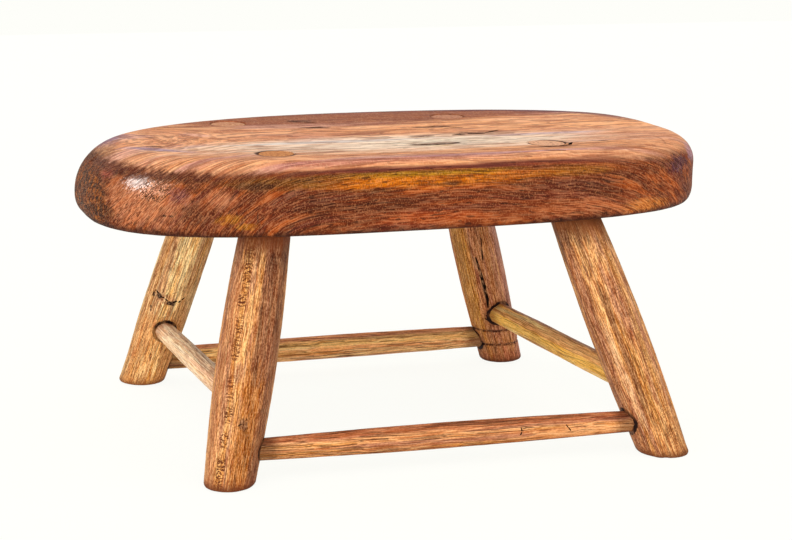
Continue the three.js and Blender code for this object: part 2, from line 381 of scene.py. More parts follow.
class Effects:
    """The shader node groups that the finishes share. Each is built once."""

    def __init__(self) -> None:
        """Builds the groups."""
        self.grain = self._grain()
        self.patch = self._patch()
        self.ladder = self._ladder()

    @staticmethod
    def _grain() -> NodeTree:
        """Long fibres, streaks, broad bands, drawn lines and open pores, which run along Z.

        Returns:
            The node group.
        """
        g = Graph.group(
            "long_grain", "ShaderNodeTree",
            {
                "Vector": (VECTOR, None), "Place": (VECTOR, None), "Streak Width": (NUMBER, 3.0),
                "Streak Length": (NUMBER, 60.0), "Waviness": (NUMBER, 2.0),
                "Speckle Size": (VECTOR, (0.95, 0.95, 1.3)), "Shift": (NUMBER, 0.0),
            },
            dict.fromkeys(("Streaks", "Bands", "Lines", "Fibres", "Pores", "Speckle"), NUMBER),
        )
        width, length, shift = g.given["Streak Width"], g.given["Streak Length"], g.given["Shift"]
        moved = g.vector("ADD", g.given["Vector"], g.join(shift, shift * 2.3, 0.0))
        drift = g.noise(g.vector("MULTIPLY", moved, (0.05, 0.05, 0.022)), 2.0, colour=True)
        drift = g.scaled(g.vector("SUBTRACT", drift, HALF), g.given["Waviness"])
        bent = g.vector("ADD", moved, g.vector("MULTIPLY", drift, FLATTEN))

        def along(thick: float, long: float, detail: float, rough: float) -> Field:
            """A pattern whose cells are a share of the streaks' width and length."""
            cell = g.join(width * thick, width * thick, length * long)
            return g.noise(g.vector("DIVIDE", bent, cell), detail, rough)

        drawn = along(0.42, 0.55, 1.0, 0.5)
        clumps = along(4.0, 0.8, 1.0, 0.5)
        speckle = g.noise(g.vector("DIVIDE", g.given["Place"], g.given["Speckle Size"]), 1.0, 0.6)
        g.give(
            Streaks=g.ramp(along(1.6, 1.0, 2.0, 0.55), 0.38, 0.62), Bands=along(3.0, 1.8, 1.0, 0.5),
            Lines=g.ramp(drawn + (clumps - 0.5) * 0.4, 0.55, 0.62),
            Fibres=g.ramp(along(0.38, 0.2, 1.5, 0.55), 0.36, 0.64),
            Pores=g.ramp(along(0.5, 0.1, 0.5, 0.5), 0.66, 0.72),
            Speckle=g.ramp(speckle, 0.32, 0.68),
        )
        return g.tree

    @staticmethod
    def _patch() -> NodeTree:
        """A soft ragged patch in the shape of a stretched ball.

        Returns:
            The node group.
        """
        g = Graph.group(
            "soft_patch", "ShaderNodeTree",
            {
                "Vector": (VECTOR, None), "Centre": (VECTOR, (0, 0, 0)),
                "Turn": (VECTOR, (0, 0, 0)), "Size": (VECTOR, (10, 10, 10)),
                "Raggedness": (NUMBER, 0.6), "Inner": (NUMBER, 0.35),
                "Threads": (VECTOR, (0.3, 0.3, 0.3)),
            },
            {"Mask": NUMBER},
        )
        take = g.given
        placed = {
            "Vector": take["Vector"], "Location": take["Centre"], "Rotation": take["Turn"],
            "Scale": take["Size"],
        }
        local = g.out("ShaderNodeMapping", placed, vector_type="TEXTURE")
        ragged = g.noise(g.vector("MULTIPLY", take["Vector"], take["Threads"]), 3.0, 0.6) - 0.5
        reach = g.number("LENGTH", local) + ragged * take["Raggedness"] * 2.0
        g.give(Mask=g.ramp(reach, 1.0, take["Inner"]))
        return g.tree

    @staticmethod
    def _ladder() -> NodeTree:
        """A column of short ticks across a bar, such as a blade leaves when it chatters.

        Returns:
            The node group.
        """
        g = Graph.group(
            "ladder_marks", "ShaderNodeTree",
            {
                "Vector": (VECTOR, None), "Angle": (NUMBER, 0.0), "Reach": (NUMBER, 2.2),
                "Pitch": (NUMBER, 2.5),
            },
            {"Mask": NUMBER},
        )
        x, y, z = g.split(g.given["Vector"])
        cosine, sine = g.math("COSINE", g.given["Angle"]), g.math("SINE", g.given["Angle"])
        sway = (g.noise(g.join(0.0, 0.0, z * 0.03), 2.0) - 0.5) * 7.0
        aside = g.absolute(y * cosine - x * sine + sway)
        facing = g.math("GREATER_THAN", x * cosine + y * sine, 0.0)
        uneven = g.noise(g.vector("MULTIPLY", g.given["Vector"], (0.3, 0.3, 0.55)), 2.0, 0.6)
        step = g.math("PINGPONG", z / g.given["Pitch"] + uneven * 3.2, 0.5)
        ticks = g.ramp(step, 0.24, 0.36)
        reach = g.given["Reach"] * (uneven * 1.8 + 0.2)
        column = g.ramp(aside / reach, 1.1, 0.7)
        runs = g.ramp(g.noise(g.join(3.0, 0.0, z * 0.06), 2.0), 0.42, 0.54)
        g.give(Mask=ticks * column * facing * runs)
        return g.tree


@dataclass(frozen=True)
class Patch:
    """A soft ragged mark inside the wood: a stain, a knot or a worn place; on the seat some are painted
    highlights and sheen.

    Attributes:
        centre: Its middle, in the material's millimetres.
        size: How far it reaches each way.
        colour: Its colour.
        strength: How much it covers.
        ragged: How torn its edge is.
        inner: The share of its reach that is fully covered.
        turn: Its turn in degrees.
        threads: How fine the tears of its edge are along each axis.
        netted: Whether it covers only a net of fine lines, such as crazed old oil.
    """

    centre: Triple
    size: Triple
    colour: Triple
    strength: float = 0.7
    ragged: float = 0.5
    inner: float = 0.3
    turn: Triple = (0.0, 0.0, 0.0)
    threads: Triple = (0.3, 0.3, 0.3)
    netted: bool = False


class Layers:
    """One material that is built up in layers, from its ground colour to its darkest marks."""

    SPECULAR = 0.07

    def __init__(self, name: str, effects: Effects, line: Line | None = None) -> None:
        """Starts the material.

        Args:
            name: The material's name.
            effects: The shared groups.
            line: The line whose start is the origin and whose direction is Z, or none for the
                stool's own frame.
        """
        self.material = bpy.data.materials.new(name)
        self.material.use_nodes = True
        self.material.node_tree.nodes.clear()
        self.effects = effects
        self.graph = Graph(self.material.node_tree)
        g = self.graph
        start = line.start if line else Vector((0, 0, 0))
        turn = line.turn.to_euler() if line else (0, 0, 0)
        here = g.out("ShaderNodeTexCoord", output="Object")
        placed = {"Vector": here, "Location": start, "Rotation": turn, "Scale": (MM, MM, MM)}
        self.vector = g.out("ShaderNodeMapping", placed, vector_type="TEXTURE")
        self.place = g.scaled(here, 1 / MM) if line else self.vector
        self.colour: Value = (0.5, 0.5, 0.5, 1)
        self.height: Value = 0.0
        self.roughness: Value = 0.55

    def group(self, tree: NodeTree, **inputs: Value) -> dict[str, Field]:
        """Places a shared group. An underscore in an input's name stands for a space.

        Returns:
            The group's outputs by name.
        """
        values = {name.replace("_", " "): value for name, value in inputs.items()}
        made = self.graph.node("ShaderNodeGroup", values, node_tree=tree)
        return {output.name: Field(self.graph, output) for output in made.outputs}

    def cloud(
        self, stretch: Triple, detail: float = 2.0, roughness: float = 0.5, colour: bool = False
    ) -> Field:
        """A cloudy pattern, with how many of its cells lie in a millimetre along each axis."""
        place = self.graph.vector("MULTIPLY", self.vector, stretch)
        return self.graph.noise(place, detail, roughness, colour)

    def lay(self, colour: Triple, mask: Value, strength: float = 1.0, way: Way = Way.COVER) -> None:
        """Lays a colour over what is there, where the mask is."""
        g = self.graph
        share = mask * strength if isinstance(mask, Field) else strength
        inputs = {0: share, 6: self.colour, 7: shade(*colour)}
        self.colour = g.out("ShaderNodeMix", inputs, 2, data_type="RGBA", blend_type=way.value)

    def patch(self, patch: Patch) -> None:
        """Lays one patch."""
        turn = tuple(math.radians(part) for part in patch.turn)
        mask = self.group(
            self.effects.patch, Vector=self.vector, Centre=patch.centre, Turn=turn, Size=patch.size,
            Raggedness=patch.ragged, Inner=patch.inner, Threads=patch.threads,
        )["Mask"]
        if patch.netted:
            net = self.graph.noise(self.graph.scaled(self.vector, 0.4), 2.0, 0.6)
            mask = mask * self.graph.ramp(self.graph.absolute(net - 0.5), 0.045, 0.02)
        self.lay(patch.colour, mask, patch.strength)

    def grain(self, grain: dict[str, Field], finish: "BarFinish") -> None:
        """Lays the grain group's outputs, from fibres to pores, and sets relief and roughness.

        Args:
            grain: The group's outputs.
            finish: The finish that names the colours and how strong each is.
        """
        g = self.graph
        fibres, fleck = grain["Fibres"], grain["Speckle"]
        self.lay(FIBRE, g.ramp(fibres, 0.4, 0.95), finish.fibres, Way.STAIN)
        self.lay(GLEAM, g.ramp(fibres, 0.5, 0.05), 0.7, Way.BLEACH)
        self.lay(finish.ink, g.ramp(fleck, 0.6, 0.98), finish.speckle)
        self.lay(GLEAM, g.ramp(fleck, 0.42, 0.05), finish.speckle * 1.5, Way.BLEACH)
        self.lay(finish.ink, grain["Lines"], finish.lines)
        self.lay(finish.ink, grain["Pores"], finish.pores)
        lines, pores = grain["Lines"], grain["Pores"]
        self.height = fibres * -0.35 + lines * -0.6 + pores * -0.9 + fleck * -0.25
        self.roughness = fibres * 0.12 + pores * 0.15 + 0.5

    def close(self, relief: float) -> Material:
        """Joins colour, roughness and relief to the shader.

        Args:
            relief: The height of the relief in millimetres.

        Returns:
            The material.
        """
        g = self.graph
        inputs = {"Base Color": self.colour, "Roughness": self.roughness}
        inputs["Specular IOR Level"] = self.SPECULAR
        if isinstance(self.height, Field):
            bump = {"Height": self.height, "Strength": 1.0, "Distance": relief * MM}
            inputs["Normal"] = g.out("ShaderNodeBump", bump)
        shader = g.out("ShaderNodeBsdfPrincipled", inputs)
        g.node("ShaderNodeOutputMaterial", {"Surface": shader})
        return self.material


@dataclass(frozen=True)
class Side:
    """A side of a bar that has its own tint: on some bars a tone of the wood, on others painted light or
    shade.

    Attributes:
        facing: The side of the stool that it faces.
        swing: Degrees that it is turned on from there, round the bar.
        spread: How many degrees it reaches to each side.
        colour: Its tint.
        strength: How much it covers.
        from_along: Where along the bar it begins, in millimetres, or none for its whole length.
        to_along: Where it ends, or none.
    """

    facing: Facing
    swing: float
    spread: float
    colour: Triple
    strength: float = 0.6
    from_along: float | None = None
    to_along: float | None = None


@dataclass(frozen=True)
class Mark:
    """A stain or knot on the skin of a bar.

    Attributes:
        along: Millimetres from the bar's start.
        angle: Degrees round the bar.
        length: How far it reaches along the bar.
        width: How far it reaches round the bar and into it.
        colour: Its colour.
        strength: How much it covers.
        ragged: How torn its edge is.
    """

    along: float
    angle: float
    length: float
    width: float
    colour: Triple
    strength: float = 0.8
    ragged: float = 0.5

    def patch(self, radius: float) -> Patch:
        """The patch that draws it on the skin of a bar of this rough radius."""
        x, y, _ = circle(self.angle)
        return Patch(
            (x * radius, y * radius, self.along), (self.width, self.width, self.length),
            self.colour, self.strength, self.ragged, inner=0.6, threads=(0.5, 0.5, 0.2),
        )


@dataclass(frozen=True)
class Ladder:
    """A column of chatter marks along a bar.

    Attributes:
        angle: Degrees round the bar.
        strength: How dark it is.
        reach: How far its widest ticks reach to each side, in millimetres.
    """

    angle: float
    strength: float
    reach: float


@dataclass(frozen=True)
class Mouth:
    """Where a stretcher enters a leg, round which the leg is darker, with a painted shadow of the gap.

    Attributes:
        point: A point of the stretcher's line inside the leg, in millimetres.
        axis: The stretcher's direction, out of the leg.
        radius: The stretcher's radius beside the leg.
    """

    point: Vector
    axis: Vector
    radius: float


@dataclass(frozen=True)
class BarFinish:
    """The finish of one whittled leg or stretcher.

    Attributes:
        pale: The ground, which shows between the streaks.
        body: The streaks.
        deep: Clouds, darkening, painted shade and the rings of the sawn ends.
        ink: Lines, pores, the darkest marks and the darkest painted shade.
        warm: The broad bands of one kind.
        cool: The broad bands of the other kind.
        end: The ground of the sawn ends.
        streak_width: The streaks' rough width in millimetres.
        streak_length: Their rough length.
        waviness: How far they stray sideways, in millimetres.
        fibres: How strong the fibres are.
        lines: How strong the drawn lines are.
        pores: How strong the pores are.
        speckle: How strong the speckle is.
        speckle_size: A speck's size along each axis, in millimetres.
        bands: How strong the broad bands are.
        foot_darkening: How strong the darkening towards the foot is.
        under_seat_shade: How strong the painted shade under the seat is.
        end_darkening: How strong the darkening beside a dowel's ends is.
        shift: Where in the grain's pattern the bar is cut from.
        rings: The heights of the scored rings.
        sides: Its tinted sides, some of them painted light or shade.
        marks: Its stains and knots.
        ladders: Its columns of chatter marks.
    """

    pale: Triple
    body: Triple
    deep: Triple
    ink: Triple = INK
    warm: Triple = (206, 130, 40)
    cool: Triple = (172, 108, 84)
    end: Triple = (190, 120, 74)
    streak_width: float = 1.4
    streak_length: float = 60.0
    waviness: float = 2.0
    fibres: float = 0.8
    lines: float = 0.5
    pores: float = 0.5
    speckle: float = 0.4
    speckle_size: Triple = (0.7, 0.7, 1.7)
    bands: float = 0.6
    foot_darkening: float = 0.8
    under_seat_shade: float = 0.0
    end_darkening: float = 0.0
    shift: float = 0.0
    rings: tuple[float, ...] = ()
    sides: tuple[Side, ...] = ()
    marks: tuple[Mark, ...] = ()
    ladders: tuple[Ladder, ...] = ()

    @staticmethod
    def side_mask(layers: Layers, line: Line, side: Side) -> Field:
        """A soft mask that covers one side of a bar.

        Args:
            layers: The bar's material.
            line: The bar's line.
            side: The side.

        Returns:
            The mask.
        """
        g = layers.graph
        flat = g.vector("NORMALIZE", g.vector("MULTIPLY", layers.vector, FLATTEN))
        facing = g.number("DOT_PRODUCT", flat, circle(line.angle_to(side.facing) + side.swing))
        torn = layers.cloud((0.5, 0.5, 0.06), 3.0, 0.6) - 0.5
        edge = math.cos(math.radians(side.spread))
        full = math.cos(math.radians(side.spread * 0.65))
        mask = g.ramp(facing + torn * 0.3 * min(1.0, (side.spread / 30) ** 2), edge, full)
        along = g.split(layers.vector)[2] + torn * 60.0
        if side.from_along is not None:
            mask = mask * g.ramp(along, side.from_along - 10, side.from_along + 10)
        if side.to_along is not None:
            mask = mask * g.ramp(along, side.to_along + 10, side.to_along - 10)
        return mask

    def skin(
        self, name: str, line: Line, radius: float, effects: Effects, mouths: tuple[Mouth, ...] = ()
    ) -> Material:
        """Makes the material of the bar's long side.

        Args:
            name: The material's name.
            line: The bar's line.
            radius: The bar's rough radius in millimetres.
            effects: The shared groups.
            mouths: Where stretchers enter it.

        Returns:
            The material.
        """
        layers = Layers(name, effects, line)
        g = layers.graph
        grain = layers.group(
            effects.grain, Vector=layers.vector, Place=layers.vector,
            Streak_Width=self.streak_width, Streak_Length=self.streak_length,
            Waviness=self.waviness, Speckle_Size=self.speckle_size, Shift=self.shift,
        )
        layers.lay(self.pale, 1.0)
        layers.lay(self.body, grain["Streaks"], 0.9)
        layers.lay(self.warm, g.ramp(grain["Bands"], 0.54, 0.62), self.bands)
        layers.lay(self.cool, g.ramp(grain["Bands"], 0.46, 0.38), self.bands)
        cloud = layers.cloud((0.1, 0.1, 0.03), 3.0, 0.65)
        layers.lay(self.deep, g.ramp(cloud, 0.54, 0.7), 0.45)
        layers.lay(self.pale, g.ramp(cloud, 0.46, 0.32), 0.45)
        # Tinted sides, some of them painted light or shade
        for side in self.sides:
            layers.lay(side.colour, self.side_mask(layers, line, side), side.strength)
        for mark in self.marks:
            layers.patch(mark.patch(radius))
        layers.grain(grain, self)
        for ladder in self.ladders:
            ticks = layers.group(
                effects.ladder, Vector=layers.vector, Angle=math.radians(ladder.angle),
                Reach=ladder.reach,
            )["Mask"]
            layers.lay(self.deep, ticks, ladder.strength)
            layers.lay(self.ink, ticks, ladder.strength * 0.6)
            layers.height = layers.height + ticks * -0.8
        self.darkening_and_shade(layers, line, cloud, mouths)
        return layers.close(BAR_RELIEF)

    def darkening_and_shade(self, layers: Layers, line: Line, cloud: Field, mouths: tuple[Mouth, ...]) -> None:
        """Lays dark scored rings, darkening at the foot and the ends, painted shade under the seat, and
        round the mouths a darker halo with a painted shadow of the gap.

        Args:
            layers: The material.
            line: The bar's line.
            cloud: A slow cloudy pattern that makes the dirt's edges uneven.
            mouths: Where stretchers enter the bar.
        """
        g = layers.graph
        height = g.split(layers.place)[2]
        ragged = g.noise(g.scaled(layers.place, 0.45), 3.0, 0.65) - 0.5
        for ring in self.rings:
            near = g.ramp(g.absolute(height + ragged * 2.2 - ring), 1.5, 0.5)
            layers.lay(self.ink, near * g.ramp(ragged, -0.2, 0.1), 0.9)
        # Darker towards the foot
        if self.foot_darkening:
            layers.lay(self.ink, g.ramp(height + ragged * 5.0, 6.0, 1.4), self.foot_darkening)
            layers.lay(self.deep, g.ramp(height + (cloud - 0.5) * 12.0, 12.0, 2.0), self.foot_darkening * 0.5)
        # Painted shade under the seat, over the top of the leg
        if self.under_seat_shade:
            high = g.ramp(height + (cloud - 0.5) * 24.0 + ragged * 8.0, 146.0, 162.0)
            layers.lay(self.deep, high, self.under_seat_shade)
            layers.lay(self.ink, g.ramp(height + ragged * 10.0, 154.0, 164.0), self.under_seat_shade * 0.5)
        # Darker towards the dowel's ends
        if self.end_darkening:
            along = g.split(layers.vector)[2]
            inside = g.math("MINIMUM", along, line.length / MM - along) + ragged * 9.0
            layers.lay(self.ink, g.ramp(inside, 37.0, 26.0), self.end_darkening)
        # Round each mouth a darker halo, and a dark ring of painted shadow where the gap round the shoulder
        # would show
        for mouth in mouths:
            off = g.vector("SUBTRACT", layers.place, mouth.point)
            aside = g.number("LENGTH", g.vector("CROSS_PRODUCT", off, mouth.axis))
            outside = g.ramp(g.number("DOT_PRODUCT", off, mouth.axis), 4.0, 8.0)
            halo = g.ramp(aside + ragged * 6.0, mouth.radius + 6.0, mouth.radius + 1.0)
            layers.lay(self.deep, halo * outside, 0.4)
            ring = g.absolute(aside + ragged * 2.2 - (mouth.radius + 0.8))
            worn = g.ramp(g.noise(g.scaled(layers.place, 0.11), 1.0), 0.4, 0.55) * 0.4 + 0.6
            layers.lay((30, 14, 9), g.ramp(ring, 1.6, 0.9) * outside * worn, 1.0)

    def end_grain(self, name: str, line: Line, effects: Effects) -> Material:
        """Makes the material of the bar's sawn ends, with its growth rings.

        Args:
            name: The material's name.
            line: The bar's line.
            effects: The shared groups.

        Returns:
            The material.
        """
        layers = Layers(name, effects, line)
        g = layers.graph
        drift = layers.cloud((0.09, 0.09, 0.02), 3.0, 0.6, colour=True)
        drift = g.scaled(g.vector("SUBTRACT", drift, (0.3, 0.7, 0.5)), 9.0)
        offset = g.vector("ADD", layers.vector, drift)
        radius = g.number("LENGTH", g.vector("MULTIPLY", offset, FLATTEN))
        rings = g.math("PINGPONG", radius, RING_WIDTH) / RING_WIDTH
        speck = layers.cloud((1.4, 1.4, 0.05), 2.0, 0.6)
        mottle = g.noise(g.vector("DIVIDE", layers.place, (2.0, 4.5, 4.5)), 2.0, 0.6)
        layers.lay(self.end, 1.0)
        layers.lay(self.deep, g.ramp(mottle, 0.48, 0.7), 0.5)
        layers.lay(self.pale, g.ramp(mottle, 0.46, 0.3), 0.4)
        layers.lay(self.deep, g.ramp(rings, 0.35, 0.95), 0.3)
        layers.lay(self.ink, g.ramp(speck, 0.56, 0.7), 0.3)
        layers.height = rings * -0.5 + speck * -0.8
        layers.roughness = 0.7
        return layers.close(BAR_RELIEF)


def crevice_finish(effects: Effects) -> Material:
    """Makes the dark inside of the mortises and drying checks: painted shade, with a paler mottle."""
    layers = Layers("crevice", effects)
    g = layers.graph
    crevice_mottle = layers.cloud((0.7, 0.7, 0.7))
    layers.lay((34, 20, 13), 1.0)
    layers.lay((74, 44, 27), g.ramp(crevice_mottle, 0.5, 0.75), 0.5)
    layers.roughness = g.ramp(crevice_mottle, 0.2, 0.8) * 0.1 + 0.85
    return layers.close(CREVICE_RELIEF)


@dataclass(frozen=True)
class Blade:
    """What is cut out of a piece for a stretch of a drying check: a thin wandering spindle.

    Attributes:
        start: Where it begins, in metres.
        finish: Where it ends.
        out: The direction out of the piece there.
        width: How wide it gapes, in metres.
        depth: How deep it goes.
        wander: How far it strays sideways.
    """

    OVERLAP: ClassVar[float] = 0.3

    start: Vector
    finish: Vector
    out: Vector
    width: float
    depth: float
    wander: float

    @classmethod
    def between(
        cls, start: Vector, finish: Vector, out: Vector, check: "Crack | Check", unit: float = 1.0
    ) -> "Blade":
        """Makes one stretch of a check, which laps over its neighbours at both ends.

        Args:
            start: Where the stretch begins.
            finish: Where it ends.
            out: The direction out of the piece there.
            check: The check, with its width, depth and wander in millimetres.
            unit: The size in metres of one step of start and finish.

        Returns:
            The blade.
        """
        over = (finish - start) * cls.OVERLAP
        sizes = (check.width * MM, check.depth * MM, check.wander * MM)
        return cls((start - over) * unit, (finish + over) * unit, out, *sizes)


class CheckTree:
    """The Geometry Nodes tree that grows a cutter for every drying check from one point each."""

    SIDES = 8
    ROWS = 26
    PROUD = 0.0016
    CLOUDS = 170.0

    def __init__(self, crevice: Material) -> None:
        """Builds the tree."""
        g = Graph.group(
            "drying_checks", "GeometryNodeTree",
            {
                "Geometry": (GEOMETRY, None), "Proud": (NUMBER, self.PROUD), "Seed": (NUMBER, 3.0),
                "Material": (MATERIAL, None),
            },
            {"Geometry": GEOMETRY},
        )
        rod = {"Vertices": self.SIDES, "Side Segments": self.ROWS, "Radius": 1.0, "Depth": 1.0}
        cylinder = g.out("GeometryNodeMeshCylinder", rod, "Mesh", fill_type="TRIANGLE_FAN")
        points = {"Points": g.given["Geometry"], "Instance": cylinder}
        many = g.out("GeometryNodeInstanceOnPoints", points)
        spindles = g.out("GeometryNodeRealizeInstances", {0: many})

        def stored(name: str, kind: str) -> Field:
            """One of the points' attributes."""
            return g.out("GeometryNodeInputNamedAttribute", {"Name": name}, data_type=kind)

        x, y, z = g.split(g.out("GeometryNodeInputPosition"))
        share = g.clamp(z + 0.5)
        start, finish = stored("start", "FLOAT_VECTOR"), stored("finish", "FLOAT_VECTOR")
        out = stored("out", "FLOAT_VECTOR")
        run = g.vector("SUBTRACT", finish, start)
        side = g.vector("NORMALIZE", g.vector("CROSS_PRODUCT", out, run))
        middle = share * 2.0 - 1.0
        taper = g.math("SQRT", g.math("MAXIMUM", 1.0 - middle * middle, 0.01))
        place = g.scaled(g.vector("ADD", start, g.scaled(run, share)), self.CLOUDS)
        rough = g.noise(g.vector("ADD", place, g.join(g.given["Seed"], 0.0, 0.0)), 2.0, 0.6) - 0.5
        coarse = g.noise(g.scaled(place, 0.45), 1.0, 0.5) - 0.5
        thick = taper * (rough * 0.7 + 1.0)
        proud = g.math("GREATER_THAN", y, 0.0)
        deep = g.mix(proud, stored("depth", "FLOAT") * taper, g.given["Proud"])
        wide = x * stored("width", "FLOAT") * 0.5 * thick
        wide = wide + coarse * stored("wander", "FLOAT") * 2.0
        place = g.vector("ADD", start, g.scaled(run, share))
        place = g.vector("ADD", place, g.scaled(side, wide))
        place = g.vector("ADD", place, g.scaled(out, y * deep))
        moved = g.out("GeometryNodeSetPosition", {"Geometry": spindles, "Position": place})
        paint = {"Geometry": moved, "Material": g.given["Material"]}
        g.give(Geometry=g.out("GeometryNodeSetMaterial", paint))
        self.tree = g.tree
        self.crevice = crevice

    def grow(self, name: str, blades: list[Blade]) -> Object:
        """Makes one object that holds the cutters of all the blades."""
        mesh = bpy.data.meshes.new(name)
        mesh.vertices.add(len(blades))
        for title in ("start", "finish", "out"):
            layer = mesh.attributes.new(title, "FLOAT_VECTOR", "POINT")
            parts = [part for blade in blades for part in getattr(blade, title)]
            layer.data.foreach_set("vector", parts)
        for title in ("width", "depth", "wander"):
            layer = mesh.attributes.new(title, "FLOAT", "POINT")
            layer.data.foreach_set("value", [getattr(blade, title) for blade in blades])
        cutter = show(name, mesh)
        shape(cutter, self.tree, {"Material": self.crevice})
        return cutter


def turned(
    name: str, profile: list[tuple[float, float]], line: Line, material: Material,
    level: bool = False, last: Material | None = None,
) -> Object:
    """Turns a closed profile round a line.

    Args:
        name: The object's name.
        profile: Radius and distance along the line, in millimetres, from one end to the other.
            The first and last radius are nought.
        line: The line.
        material: The material of its skin.
        level: Whether distances are heights, so that each row is level.
        last: The material of the last rows of faces, where it isn't the same.

    Returns:
        The object.
    """
    sides = TURNED_SIDES
    axis = line.axis
    made = bmesh.new()
    rows = []
    for radius, distance in profile:
        count = sides if radius else 1
        row = []
        for step in range(count):
            spoke = line.spoke(360 * step / sides) * radius
            along = (distance - spoke.z) / axis.z if level else distance
            row.append(made.verts.new(line.start + (axis * along + spoke) * MM))
        rows.append(row)
    for number, (low, high) in enumerate(zip(rows, rows[1:])):
        for step in range(sides):
            after = (step + 1) % sides
            if len(low) == 1:
                face = made.faces.new((low[0], high[after], high[step]))
            elif len(high) == 1:
                face = made.faces.new((low[step], low[after], high[0]))
            else:
                face = made.faces.new((low[step], low[after], high[after], high[step]))
            face.material_index = 1 if last and number >= len(rows) - 1 - LAST_FACES else 0
    mesh = bpy.data.meshes.new(name)
    made.to_mesh(mesh)
    made.free()
    mesh.materials.append(material)
    if last:
        mesh.materials.append(last)
    return show(name, mesh)


def carve(piece: Object, cutters: list[Object]) -> None:
    """Takes cutters out of a piece, one after another, and deletes them."""
    for cutter in cutters:
        modifier = piece.modifiers.new("carve", "BOOLEAN")
        modifier.operation = "DIFFERENCE"
        modifier.solver = "MANIFOLD"
        modifier.object = cutter
        if hasattr(modifier, "material_mode"):
            modifier.material_mode = "TRANSFER"
    settle(piece)
    for cutter in cutters:
        mesh = cutter.data
        bpy.data.objects.remove(cutter)
        bpy.data.meshes.remove(mesh)


def dress(piece: Object, node: str) -> None:
    """Smooths a finished piece, and lets it ride in place of its CAD node."""
    mesh = piece.data
    mesh.shade_smooth()
    mesh.set_sharp_from_angle(angle=math.radians(SHARP_ANGLE))
    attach(piece, "root")
    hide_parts(node)
    log.info("%s: %d faces", piece.name, len(mesh.polygons))


